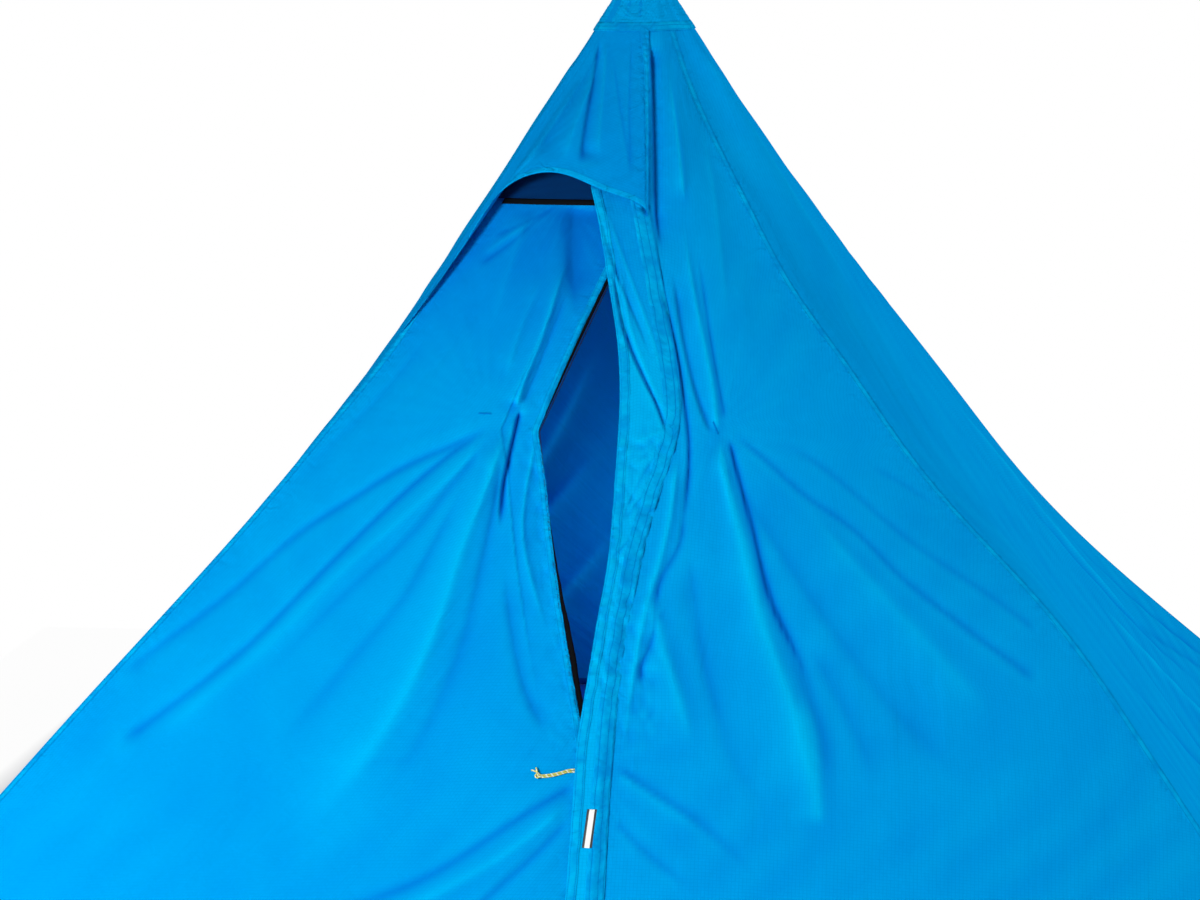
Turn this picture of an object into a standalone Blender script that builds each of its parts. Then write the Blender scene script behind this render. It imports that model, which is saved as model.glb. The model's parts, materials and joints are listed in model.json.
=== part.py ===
"""Pyramid tent with one centre pole, pitched. Metres, +Z up, front towards -Y.

The origin is on the ground under the peak. The canopy's four ridges follow a
catenary-like cut, so the sides are drawn in. A face is described by a (metres
along it), z (height) and n (metres outwards, level, from its outer surface).
"""
import math

import bmesh
import bpy
from mathutils import Matrix, Vector

# Canopy
HEIGHT = 1.45
HALF_BASE = 1.10
HEM_DRAW = 0.060
HALF_HEM_MIDDLE = HALF_BASE - HEM_DRAW
HALF_PEAK = 0.017
RIDGE_BOW = 0.318
SIDE_BOW = 0.12
FLAT_MIDDLE = 0.03
FABRIC = 0.0015
PEAK_OPENING = 0.020
PANEL_TOP = HEIGHT - PEAK_OPENING
GAP = 0.0003

# Front: zip, door and storm flap
ZIP_X = 0.016
ZIP_SLOT = 0.006
ZIP_BELOW_PEAK = 0.375
ZIP_TOP = HEIGHT - ZIP_BELOW_PEAK
DOOR_RISE = 0.015
DOOR_TOP = ZIP_TOP + DOOR_RISE
SEAM_PEAK_X = -0.004
SEAM_LAP = 0.008
OPEN_BOTTOM = 0.302
OPEN_WIDEST = 0.744
OPEN_WIDTH = 0.125
OPEN_CURVE = 0.70
FLAP_DROP = 0.025
FLAP_TOP = ZIP_TOP - FLAP_DROP
FLAP_LIFT = 0.0088
FLAP_SEAM = 0.008
FLAP_FREE_X = -0.021
FLAP_SEWN_X = 0.034
FLAP_SLACK_Z = 0.775
FLAP_SLACK_REACH = 0.17
FLAP_SLACK_FREE = 0.034
FLAP_SLACK_SEWN = 0.060
FLAP_LEAN_TOP = 0.030
FLAP_LEAN_LENGTH = 0.17
FLAP_ROLL = 0.0012
TAPE_WIDTH = 0.016
TAPE = 0.0010
COIL_WIDTH = 0.0030
COIL_GAP = 0.0006
COIL_TOP = 0.0002

# Vent and its hood; the hood's edge as shares of the half width and distances below the peak
HOOD_STAND = 0.045
HOOD_EDGE = ((1.00, 0.565), (0.975, 0.410), (0.93, 0.342), (0.66, 0.314), (0.34, 0.326), (0.06, 0.352))
HOOD_SEAM_LAP = 0.009
MESH = 0.0010
MESH_BELOW_PEAK = 0.25
MESH_LAP = 0.006
BINDING_WIDTH = 0.012
BINDING = 0.0012
STAY_RADIUS = 0.0014

# Peak
CAP = 0.0020
CAP_CLEAR = 0.0017
CAP_LENGTH = 0.098
CAP_HEM = HEIGHT - CAP_LENGTH
CAP_CROWN = 0.0045
CAP_TOP = HEIGHT + CAP_CROWN
CUP_BELOW_PANELS = 0.004
CUP_TOP = PANEL_TOP - CUP_BELOW_PANELS
CUP_HEIGHT = 0.048
CUP_BOTTOM = CUP_TOP - CUP_HEIGHT
CUP_WALL = 0.003
SOCKET_RADIUS = 0.0085
SOCKET_DEPTH = 0.028
CUP_FLOOR = 0.006

# Pole
LOWER_RADIUS = 0.0110
LOWER_WALL = 0.0012
LOWER_TOP = 0.80
UPPER_RADIUS = 0.0094
UPPER_WALL = 0.0012
UPPER_BOTTOM = 0.68
FOOT_RADIUS = 0.020
FOOT_HEIGHT = 0.018
SPIGOT = 0.030
TIP_NECK = 0.022
COLLAR_HEIGHT = 0.050
COLLAR_RADIUS = 0.0160
COLLAR_OVERHANG = 0.018
LEVER_HEIGHT = 0.026
LEVER_WALL = 0.0026
LEVER_SPAN = math.radians(150)
PIN_RADIUS = 0.0016
PIN_OFFSET = 0.0042
BARREL_RADIUS = 0.0036
EAR = 0.0064

# Hem, corners and stake loops
HEM_TAPE = 0.0010
HEM_TAPE_HEIGHT = 0.014
PATCH_REACH = 0.17
PATCH_HEIGHT = 0.12
PATCH_CLEAR = 0.0009
WEBBING = 0.0016
WEBBING_WIDTH = 0.020
TAB_LENGTH = 0.060
LOCK_LENGTH = 0.026
LOCK_WIDTH = 0.030
LOCK_HEIGHT = 0.0090
STRAP_LENGTH = 0.095
STRAP_START = 0.014
LOOP_LENGTH = 0.040
LOOP_RADIUS = 0.011
LOOP_HEIGHT = 0.015
LOOP_SPREAD = math.radians(112)
HEM_LOOP_TAB = 0.045
FRONT_LOOP_X = 0.055

# Sliders, pull and small tabs
SLIDER_LENGTH = 0.014
SLIDER_WIDTH = 0.011
SLIDER_PLATE = 0.0016
SLIDER_CLEAR = 0.0004
POST_WIDTH = 0.0006
BAIL_HEIGHT = 0.0030
BAIL_WIDTH = 0.0042
UPPER_SLIDER_Z = 0.290
LOWER_SLIDER_Z = 0.024
CORD_RADIUS = 0.0013
KNOT_RADIUS = 0.0036
TIE_X = (-0.200, 0.176)
TIE_Z = 0.755
TIE_WIDTH = 0.013
TIE_LENGTH = 0.045
REFLECTOR_X = 0.014
REFLECTOR_Z = 0.223
REFLECTOR_WIDTH = 0.0127
REFLECTOR_LENGTH = 0.060
REFLECTOR = 0.0012

# Main folds on the front: start, end, half width and height, on x and z
FOLD_FADE = 0.09
FOLD_FREE_PEAK = 0.15
FOLDS = (
    ((0.055, 1.25), (0.160, 0.760), 0.030, 0.010),
    ((0.160, 0.760), (0.330, 0.250), 0.042, 0.014),
    ((0.176, 0.755), (0.640, 0.430), 0.036, 0.008),
    ((-0.200, 0.752), (-0.660, 0.400), 0.036, 0.008),
    ((-0.200, 0.752), (-0.480, 0.180), 0.042, 0.009),
    ((-0.150, 0.760), (-0.120, 0.350), 0.028, 0.009),
)

FACES = ("front", "right", "back", "left")
ZIP_LEAN = math.atan2(HALF_HEM_MIDDLE - HALF_PEAK, HEIGHT)
SIDE_COLUMNS = (0.0, 0.06, 0.14, 0.28, 0.50, 0.72, 0.86, 0.94, 1.0)


def clear_scene():
    for item in list(bpy.data.objects):
        bpy.data.objects.remove(item, do_unlink=True)


def make_material(name, colour, roughness, metallic=0.0):
    material = bpy.data.materials.new(name)
    material.use_nodes = True
    shader = material.node_tree.nodes["Principled BSDF"]
    shader.inputs["Base Color"].default_value = (*colour, 1.0)
    shader.inputs["Roughness"].default_value = roughness
    shader.inputs["Metallic"].default_value = metallic
    return material


def smooth(value, low, high):
    share = min(1.0, max(0.0, (value - low) / (high - low)))
    return share * share * (3 - 2 * share)


# Surfaces of the canopy

def drop(z):
    return (HEIGHT - z) / HEIGHT


def ridge(z):
    """Half the width between the ridges at a height."""
    t = drop(z)
    return HALF_PEAK + (HALF_BASE - HALF_PEAK) * (t * (1 - RIDGE_BOW) + RIDGE_BOW * t * t)


def middle(face, z):
    """Distance from the axis to a face's middle line: straight on the front, where the zip is."""
    t = drop(z)
    bow = 0.0 if face == "front" else SIDE_BOW
    return HALF_PEAK + (HALF_HEM_MIDDLE - HALF_PEAK) * (t * (1 - bow) + bow * t * t)


def fold_height(x, z):
    """Height of the main folds: soft ridges along the lines in FOLDS."""
    total = 0.0
    for start, end, width, height in FOLDS:
        along = Vector((end[0] - start[0], end[1] - start[1]))
        offset = Vector((x - start[0], z - start[1]))
        share = offset.dot(along) / along.length_squared
        across = (offset - along * share).length
        fade = smooth(share, 0.05, 0.28) * (1 - smooth(share, 0.65, 0.95))
        total += height * fade * math.exp(-(across / width) ** 2)
    return total


def opening(z):
    """How far the unzipped door edge is drawn away from the zip line."""
    if z <= OPEN_BOTTOM or z >= ZIP_TOP:
        return 0.0
    if z >= OPEN_WIDEST:
        return OPEN_WIDTH * (ZIP_TOP - z) / (ZIP_TOP - OPEN_WIDEST)
    return OPEN_WIDTH * ((z - OPEN_BOTTOM) / (OPEN_WIDEST - OPEN_BOTTOM)) ** OPEN_CURVE


def relief(x, z):
    """Folds of the front face, held at nought at the ridges, the zip and the peak."""
    wide = ridge(z)
    hold = smooth(wide - abs(x), 0.0, FOLD_FADE) * smooth(z, 0.0, FOLD_FADE)
    hold *= smooth(HEIGHT - z, FOLD_FREE_PEAK, FOLD_FREE_PEAK + 0.2)
    if x < ZIP_X:
        return hold * smooth(ZIP_X - ZIP_SLOT - x, 0.01, 0.05) * fold_height(x, z)
    return hold * smooth(x - ZIP_X, 0.075, 0.13) * fold_height(x, z)


def surface(face, a, z, n=0.0, folded=False):
    """World point on a face."""
    wide = ridge(z)
    flat = min(FLAT_MIDDLE, 0.5 * wide)
    share = max(0.0, abs(a) - flat) / (wide - flat)
    depth = wide + (middle(face, z) - wide) * (1 - min(1.0, share) ** 2) + n
    if folded:
        depth += relief(a, z)
    turn = FACES.index(face)
    return Matrix.Rotation(turn * math.pi / 2, 3, "Z") @ Vector((a, -depth, z))


def rows(low, high, count):
    return [low + (high - low) * k / count for k in range(count + 1)]


def panel_rows(high, count):
    """Heights of a panel's rows; the first is as tall as the tape in the hem."""
    return [0.0] + rows(HEM_TAPE_HEIGHT, high, count)


def zip_rows():
    """Heights along the zip, the door edge and its tape: closed, widening and narrowing stretches."""
    return (rows(HEM_TAPE_HEIGHT, OPEN_BOTTOM, 6) + rows(OPEN_BOTTOM, OPEN_WIDEST, 10)[1:]
            + rows(OPEN_WIDEST, ZIP_TOP, 8)[1:])


def mitre(z, n):
    """Where a panel's edge lies at the ridge, clear of the next panel."""
    return ridge(z) + min(n, 0.0) - GAP


# Mesh building

def finish(name, bm, material, location=(0, 0, 0), rotation=(0, 0, 0)):
    bmesh.ops.remove_doubles(bm, verts=bm.verts, dist=1e-6)
    bmesh.ops.recalc_face_normals(bm, faces=bm.faces)
    mesh = bpy.data.meshes.new(name)
    bm.to_mesh(mesh)
    bm.free()
    mesh.shade_smooth()
    mesh.set_sharp_from_angle(angle=math.radians(35))
    item = bpy.data.objects.new(name, mesh)
    bpy.context.collection.objects.link(item)
    item.data.materials.append(material)
    item.location = location
    item.rotation_euler = rotation
    return item


def sheet(name, outer, inner, material):
    """Closed thin body between two grids of points with the same rows and columns."""
    bm = bmesh.new()
    grids = [[[bm.verts.new(p) for p in row] for row in grid] for grid in (outer, inner)]
    high, wide = len(outer), len(outer[0])
    for grid in grids:
        for r in range(high - 1):
            for c in range(wide - 1):
                bm.faces.new((grid[r][c], grid[r][c + 1], grid[r + 1][c + 1], grid[r + 1][c]))
    rim = [(0, c) for c in range(wide)] + [(r, wide - 1) for r in range(1, high)]
    rim += [(high - 1, c) for c in range(wide - 2, -1, -1)] + [(r, 0) for r in range(high - 2, 0, -1)]
    for (r0, c0), (r1, c1) in zip(rim, rim[1:] + rim[:1]):
        bm.faces.new((grids[0][r0][c0], grids[0][r1][c1], grids[1][r1][c1], grids[1][r0][c0]))
    return finish(name, bm, material)


def face_sheet(name, face, heights, left, right, columns, n_out, n_in, material, folded=False):
    """Sheet on a face; left(z, n) and right(z, n) give its edges along a, columns their shares between."""
    def grid(n):
        return [[surface(face, left(z, n) + (right(z, n) - left(z, n)) * share, z, n, folded)
                 for share in columns] for z in heights]
    return sheet(name, grid(n_out), grid(n_in), material)


def turned(name, profile, material, steps=24, location=(0, 0, 0)):
    """Body of revolution about Z from a closed profile of (radius, height)."""
    bm = bmesh.new()
    rings = []
    for radius, z in profile:
        if radius < 1e-7:
            rings.append([bm.verts.new((0, 0, z))] * steps)
            continue
        rings.append([bm.verts.new((radius * math.cos(a), radius * math.sin(a), z))
                      for a in (2 * math.pi * k / steps for k in range(steps))])
    for ring, following in zip(rings, rings[1:] + rings[:1]):
        for k in range(steps):
            corner = [ring[k], ring[(k + 1) % steps], following[(k + 1) % steps], following[k]]
            unique = list(dict.fromkeys(corner))
            if len(unique) > 2:
                bm.faces.new(unique)
    return finish(name, bm, material, location)


def band(name, outer, inner, low, high, material, closed, location=(0, 0, 0), rotation=(0, 0, 0)):
    """Upright wall between two outlines in plan, closed into a ring or cut off at its ends."""
    bm = bmesh.new()
    rings = [[bm.verts.new((x, y, z)) for x, y in outline]
             for outline, z in ((outer, low), (outer, high), (inner, high), (inner, low))]
    count = len(outer)
    for side in range(4):
        here, there = rings[side], rings[(side + 1) % 4]
        for k in range(count if closed else count - 1):
            j = (k + 1) % count
            bm.faces.new((here[k], here[j], there[j], there[k]))
    if not closed:
        bm.faces.new([ring[0] for ring in rings])
        bm.faces.new([ring[-1] for ring in rings][::-1])
    return finish(name, bm, material, location, rotation)


def prism(name, outline, low, high, material, location=(0, 0, 0), rotation=(0, 0, 0)):
    """Outline in plan, extruded upwards."""
    bm = bmesh.new()
    base = bm.faces.new([bm.verts.new((x, y, low)) for x, y in outline])
    grown = bmesh.ops.extrude_face_region(bm, geom=[base])
    moved = [v for v in grown["geom"] if isinstance(v, bmesh.types.BMVert)]
    bmesh.ops.translate(bm, verts=moved, vec=(0, 0, high - low))
    return finish(name, bm, material, location, rotation)


def block(name, low, high, material, location=(0, 0, 0), rotation=(0, 0, 0)):
    outline = [(low[0], low[1]), (high[0], low[1]), (high[0], high[1]), (low[0], high[1])]
    return prism(name, outline, low[2], high[2], material, location, rotation)


def combine(target, tool, operation):
    """Boolean with a hidden tool in the target's own frame."""
    tool.hide_render = True
    tool.display_type = "WIRE"
    tool.parent = target
    cut = target.modifiers.new(tool.name, "BOOLEAN")
    cut.operation = operation
    cut.solver = "EXACT"
    cut.object = tool


def tube(name, points, radius, material, resolution=2, cyclic=False):
    """Round rod along points, with filled ends."""
    curve = bpy.data.curves.new(name, "CURVE")
    curve.dimensions = "3D"
    curve.bevel_depth = radius
    curve.bevel_resolution = resolution
    curve.use_fill_caps = not cyclic
    spline = curve.splines.new("POLY")
    spline.points.add(len(points) - 1)
    for point, place in zip(spline.points, points):
        point.co = (*place, 1.0)
    spline.use_cyclic_u = cyclic
    item = bpy.data.objects.new(name, curve)
    bpy.context.collection.objects.link(item)
    item.data.materials.append(material)
    return item


def curve_through(points, steps):
    """Points on a smooth curve that passes through each given point."""
    points = [Vector(p) for p in points]
    padded = [2 * points[0] - points[1]] + points + [2 * points[-1] - points[-2]]
    result = []
    for a, b, c, d in zip(padded, padded[1:], padded[2:], padded[3:]):
        for k in range(steps):
            t = k / steps
            result.append(0.5 * (2 * b + (c - a) * t + (2 * a - 5 * b + 4 * c - d) * t ** 2
                                 + (3 * b - a - 3 * c + d) * t ** 3))
    return result + [points[-1]]


# Canopy panels

def seam_x(z):
    """Line where the right front panel ends: beside the zip, then up to the peak."""
    share = max(0.0, (z - ZIP_TOP) / (PANEL_TOP - ZIP_TOP))
    return ZIP_X + ZIP_SLOT + (SEAM_PEAK_X - ZIP_X - ZIP_SLOT) * share


def door_edge(z):
    return ZIP_X - ZIP_SLOT - opening(z)


def make_panels(fabric):
    for face in ("right", "back", "left"):
        face_sheet(face + "_panel", face, panel_rows(PANEL_TOP, 20), lambda z, n: -mitre(z, n),
                   lambda z, n: mitre(z, n), SIDE_COLUMNS, 0.0, -FABRIC, fabric)
    face_sheet("front_right_panel", "front", panel_rows(PANEL_TOP, 30), lambda z, n: seam_x(z),
               lambda z, n: mitre(z, n), rows(0, 1, 18), 0.0, -FABRIC, fabric, folded=True)
    face_sheet("door_panel_left", "front", [0.0] + zip_rows() + [DOOR_TOP], lambda z, n: -mitre(z, n),
               lambda z, n: door_edge(z), rows(0, 1, 21), 0.0, -FABRIC, fabric, folded=True)


def hood_share(z):
    """Right edge of the hood panel, which laps over the right front panel."""
    return -(seam_x(z) + SEAM_LAP) / ridge(z)


def hood_point(u, v, edge, n):
    """u runs from the left ridge to the centre seam, v from the peak to the free edge."""
    z = PANEL_TOP + (edge.y - PANEL_TOP) * v
    top = 1 + (hood_share(PANEL_TOP) - 1) * u
    share = hood_share(z) if u == 1 else top + (edge.x - top) * v
    stand = HOOD_STAND * math.sin(math.pi * u) ** 0.8 * smooth(v, 0.30, 1.0) if 0 < u < 1 else 0.0
    return surface("front", -ridge(z) * share, z, n + stand)


def hood_edge():
    seam_end = ZIP_TOP - HOOD_SEAM_LAP
    end = (hood_share(seam_end), seam_end)
    points = [(share, HEIGHT - below, 0) for share, below in HOOD_EDGE]
    return curve_through(points + [(*end, 0)], 2)


def make_hood(fabric, stay):
    edge = hood_edge()
    last = len(edge) - 1
    down = 16

    def grid(n):
        return [[hood_point(c / last, r / down, edge[c], n) for c in range(last + 1)] for r in range(down + 1)]

    sheet("vent_hood_panel", grid(GAP + FABRIC), grid(GAP), fabric)
    sunk = GAP - 2.2 * (STAY_RADIUS + GAP)
    points = [hood_point(c / last, 0.97, edge[c], sunk) for c in range(5, last - 1)]
    tube("hood_stay", curve_through(points, 3), STAY_RADIUS, stay)


def make_vent(mesh, binding):
    inner = -FABRIC - GAP
    face_sheet("vent_mesh", "front", rows(DOOR_TOP - MESH_LAP, HEIGHT - MESH_BELOW_PEAK, 4), lambda z, n: -(ridge(z) - 0.004),
               lambda z, n: seam_x(z) + MESH_LAP, rows(0, 1, 8), inner, inner - MESH, mesh)
    face_sheet("vent_edge_binding", "front", rows(DOOR_TOP - BINDING_WIDTH, DOOR_TOP - GAP, 1),
               lambda z, n: -0.88 * ridge(z), lambda z, n: 0.0, rows(0, 1, 10), GAP + BINDING, GAP, binding)


# Zip, storm flap and tabs

def make_zip_tapes(tape):
    under = -FABRIC - GAP
    heights = zip_rows()
    for side, name in ((-1, "zip_tape_left"), (1, "zip_tape_right")):
        def edge(z, inset):
            shift = opening(z) if side < 0 else 0.0
            return ZIP_X - shift + side * (COIL_GAP + inset)

        def profile(inset, n):
            return [surface("front", edge(z, inset), z, n, folded=True) for z in heights]

        corners = ((0.0, COIL_TOP), (COIL_WIDTH, COIL_TOP), (COIL_WIDTH, under), (TAPE_WIDTH, under),
                   (TAPE_WIDTH, under - TAPE), (0.0, under - TAPE))
        strip(name, [profile(inset, n) for inset, n in corners], tape)


def strip(name, lines, material):
    """Solid bar whose section has one corner on each of the given lines."""
    bm = bmesh.new()
    made = [[bm.verts.new(p) for p in line] for line in lines]
    count = len(lines[0])
    for here, there in zip(made, made[1:] + made[:1]):
        for k in range(count - 1):
            bm.faces.new((here[k], here[k + 1], there[k + 1], there[k]))
    bm.faces.new([line[0] for line in made])
    bm.faces.new([line[-1] for line in made][::-1])
    return finish(name, bm, material)


def flap_edges(z):
    """Free edge and sewn edge of the storm flap, which hangs to the right where the door is slack."""
    slack = math.exp(-((z - FLAP_SLACK_Z) / FLAP_SLACK_REACH) ** 2)
    lean = smooth(z, FLAP_TOP + 0.05 - FLAP_LEAN_LENGTH, FLAP_TOP + 0.05)
    left = FLAP_FREE_X + FLAP_SLACK_FREE * slack - FLAP_LEAN_TOP * lean
    right = FLAP_SEWN_X + FLAP_SLACK_SEWN * slack
    return left, right


def flap_section(z, lift):
    """Flap in section: (a, n) from the free edge over the zip to the seam."""
    left, right = flap_edges(z)
    high = FLAP_LIFT + lift
    lap = right - FLAP_SEAM
    knee = max(ZIP_X + SLIDER_WIDTH, 0.55 * lap + 0.45 * ZIP_X)
    return [(left, high - FLAP_ROLL), (left + 0.35 * (knee - left), high + FLAP_ROLL), (knee - 0.004, high),
            (0.5 * (knee + lap) + 0.002, GAP + 0.45 * (high - GAP) + lift * 0.55),
            (lap + 0.003, GAP + lift), (right, GAP + lift)]


def make_flap(fabric):
    def grid(lift):
        return [[surface("front", a, z, n, folded=True) for a, n in flap_section(z, lift)]
                for z in rows(0.0, FLAP_TOP, 40)]
    return sheet("storm_flap", grid(FABRIC), grid(0.0), fabric)


def zip_frame(z):
    """Place and turn of a part that rides on the zip: its +Z runs up the zip, its -Y outwards."""
    return (ZIP_X, -middle("front", z), z), (-ZIP_LEAN, 0, 0)


def make_sliders(metal):
    over = -(COIL_TOP * math.cos(ZIP_LEAN) + SLIDER_CLEAR)
    under = (FABRIC + GAP + TAPE) * math.cos(ZIP_LEAN) + SLIDER_CLEAR
    half, post = SLIDER_WIDTH / 2, POST_WIDTH / 2
    outline = [(-half, over - SLIDER_PLATE), (half, over - SLIDER_PLATE), (half, over), (post, over),
               (post, under), (half, under), (half, under + SLIDER_PLATE), (-half, under + SLIDER_PLATE),
               (-half, under), (-post, under), (-post, over), (-half, over)]
    top = over - SLIDER_PLATE
    leg, outer = BAIL_WIDTH / 2, BAIL_WIDTH / 2 + 0.001
    bridge = [(-outer, top + 0.0003), (-outer, top - BAIL_HEIGHT - 0.001), (outer, top - BAIL_HEIGHT - 0.001),
              (outer, top + 0.0003), (leg, top + 0.0003), (leg, top - BAIL_HEIGHT), (-leg, top - BAIL_HEIGHT),
              (-leg, top + 0.0003)]
    for name, z in (("upper_slider", UPPER_SLIDER_Z), ("lower_slider", LOWER_SLIDER_Z)):
        place, turn = zip_frame(z)
        slider = prism(name, outline, -SLIDER_LENGTH / 2, SLIDER_LENGTH / 2, metal, place, turn)
        bail = prism(name + "_bail", bridge, -0.0015, 0.0015, metal)
        combine(slider, bail, "UNION")
    return top - BAIL_HEIGHT / 2


def make_pull_cord(cord, eye):
    """Loop of cord through the slider's bail; its two strands end in a knot with short tails."""
    turn_radius = 0.0054
    near = eye + 0.0010
    flat = -0.0019
    arc = [(-turn_radius + turn_radius * math.cos(a), eye, turn_radius * math.sin(a))
           for a in (math.radians(k) for k in (90, 45, 0, -45, -90))]
    away = [(-0.0130, near, 0.0056), (-0.0260, near + 0.0008, 0.0062), (-0.0400, flat, 0.0050),
            (-0.0560, flat, 0.0000), (-0.0700, flat, -0.0034), (-0.0815, flat, -0.0046)]
    back = [(-0.0130, near, -0.0034), (-0.0260, near + 0.0008, 0.0012), (-0.0400, flat, 0.0018),
            (-0.0560, flat, -0.0030), (-0.0700, flat, -0.0064), (-0.0815, flat, -0.0076)]
    place, turn = zip_frame(UPPER_SLIDER_Z)
    loop = tube("pull_cord", curve_through(away[::-1] + arc + back, 2), CORD_RADIUS, cord)
    loop.location, loop.rotation_euler = place, turn
    end = Vector(away[-1]) + Vector((-0.0003, -0.0005, -0.0015))
    radius = KNOT_RADIUS
    half_turn = [(radius * math.sin(a), -radius * 1.25 * math.cos(a)) for a in
                 (math.pi * k / 8 for k in range(9))]
    knot = turned("pull_knot", half_turn, cord, 16)
    knot.rotation_euler = (0, math.radians(90), 0)
    knot.data.transform(Matrix.Translation(end - Vector((radius * 1.25, 0.0016, 0)))
                        @ Matrix.Rotation(math.radians(90), 4, "Y"))
    knot.location, knot.rotation_euler = place, turn
    for number, (lift, reach) in enumerate(((20, 0.0120), (62, 0.0095))):
        tail = turned("pull_tail_%d" % number, [(0, 0), (CORD_RADIUS, 0), (CORD_RADIUS, reach), (0, reach)],
                      cord, 8)
        tail.data.transform(Matrix.Translation(end - Vector((radius * 1.25, 0.0010, 0)))
                            @ Matrix.Rotation(math.radians(lift - 90), 4, "Y"))
        combine(knot, tail, "UNION")


def tie_tab(name, a, material):
    """Short webbing tab sewn behind the front, where the rolled door is tied back."""
    tall = TIE_LENGTH * math.cos(ZIP_LEAN)
    outer = -FABRIC - PATCH_CLEAR
    face_sheet(name, "front", rows(TIE_Z - tall / 2, TIE_Z + tall / 2, 4), lambda z, n: a - TIE_WIDTH / 2,
               lambda z, n: a + TIE_WIDTH / 2, rows(0, 1, 2), outer, outer - WEBBING, material, folded=True)


def make_reflector(reflective):
    """Flat webbing tab with a reflective face, bar-tacked on the storm flap."""
    tall = REFLECTOR_LENGTH * math.cos(ZIP_LEAN)

    def grid(lift):
        lines = []
        for z in rows(REFLECTOR_Z - tall / 2, REFLECTOR_Z + tall / 2, 4):
            section = flap_section(z, FABRIC + GAP + lift)
            lines.append([surface("front", a, z, level(section, a)) for a in
                          rows(REFLECTOR_X - REFLECTOR_WIDTH / 2, REFLECTOR_X + REFLECTOR_WIDTH / 2, 4)])
        return lines

    sheet("reflective_tab", grid(REFLECTOR), grid(0.0), reflective)


def level(section, a):
    """Height n of a section at a, along straight lines between its points."""
    for (a0, n0), (a1, n1) in zip(section, section[1:]):
        if a0 <= a <= a1:
            return n0 + (n1 - n0) * (a - a0) / (a1 - a0)
    return section[-1][1]


# Peak and pole

def make_cap(fabric):
    """Reinforced cap over the panels' tops: rings of the tent's own section, drawn to a blunt top."""
    per_side = 8
    clear = FABRIC + CAP_CLEAR
    bm = bmesh.new()

    def ring(z, n, lift):
        points = []
        for face in FACES:
            reach = ridge(z) + n
            points += [surface(face, -reach + 2 * reach * k / per_side, z, n) for k in range(per_side)]
        return [bm.verts.new((p.x, p.y, lift)) for p in points]

    heights = rows(CAP_HEM, HEIGHT, 4)
    outer = [ring(z, clear + CAP, z) for z in heights] + [ring(HEIGHT, clear - 0.002, CAP_TOP)]
    inner = [ring(z, clear, z) for z in heights]
    count = len(outer[0])
    for stack in (outer, inner):
        for here, there in zip(stack, stack[1:]):
            for k in range(count):
                j = (k + 1) % count
                bm.faces.new((here[k], here[j], there[j], there[k]))
        bm.faces.new(stack[-1])
    for k in range(count):
        j = (k + 1) % count
        bm.faces.new((outer[0][k], outer[0][j], inner[0][j], inner[0][k]))
    finish("peak_cap", bm, fabric)


def cup_radius(z):
    """The cup fills the peak: its cone touches the middle of the side panels."""
    return middle("back", z) - FABRIC - 2 * GAP


def make_cup(rubber):
    socket_top = CUP_TOP - CUP_FLOOR
    socket_low = socket_top - SOCKET_DEPTH
    boss = SOCKET_RADIUS + CUP_WALL
    web = socket_top - 0.012
    profile = [(0, CUP_TOP), (cup_radius(CUP_TOP), CUP_TOP), (cup_radius(CUP_BOTTOM), CUP_BOTTOM),
               (cup_radius(CUP_BOTTOM) - CUP_WALL, CUP_BOTTOM), (cup_radius(web) - CUP_WALL, web),
               (boss, web), (boss, socket_low), (SOCKET_RADIUS + 0.002, socket_low),
               (SOCKET_RADIUS, socket_low + 0.004), (SOCKET_RADIUS, socket_top - 0.004),
               (SOCKET_RADIUS - 0.004, socket_top), (0, socket_top)]
    turned("pole_cup", profile, rubber, 24)


def make_pole(alloy, plastic, rubber, steel):
    bore = LOWER_RADIUS - LOWER_WALL
    turned("pole_lower_tube", [(LOWER_RADIUS, FOOT_HEIGHT + GAP), (LOWER_RADIUS, LOWER_TOP),
                               (bore, LOWER_TOP), (bore, FOOT_HEIGHT + GAP)], alloy)
    upper_bore = UPPER_RADIUS - UPPER_WALL
    socket_top = CUP_TOP - CUP_FLOOR
    upper_top = socket_top - SOCKET_DEPTH - 0.004
    turned("pole_upper_tube", [(UPPER_RADIUS, UPPER_BOTTOM), (UPPER_RADIUS, upper_top),
                               (upper_bore, upper_top), (upper_bore, UPPER_BOTTOM)], alloy)
    tip = SOCKET_RADIUS - GAP
    plug = upper_bore - GAP
    turned("pole_tip", [(0, socket_top - GAP), (tip - 0.004, socket_top - GAP), (tip, socket_top - 0.0045),
                        (tip, upper_top + GAP), (plug, upper_top + GAP), (plug, upper_top - TIP_NECK),
                        (0, upper_top - TIP_NECK)], plastic)
    spigot = bore - GAP
    turned("pole_foot", [(0, 0), (FOOT_RADIUS - 0.002, 0), (FOOT_RADIUS, 0.002), (FOOT_RADIUS, 0.006),
                         (LOWER_RADIUS + 0.002, FOOT_HEIGHT - 0.003), (LOWER_RADIUS, FOOT_HEIGHT),
                         (spigot, FOOT_HEIGHT), (spigot, FOOT_HEIGHT + SPIGOT), (0, FOOT_HEIGHT + SPIGOT)],
           rubber)
    make_lock(plastic, steel)


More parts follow.
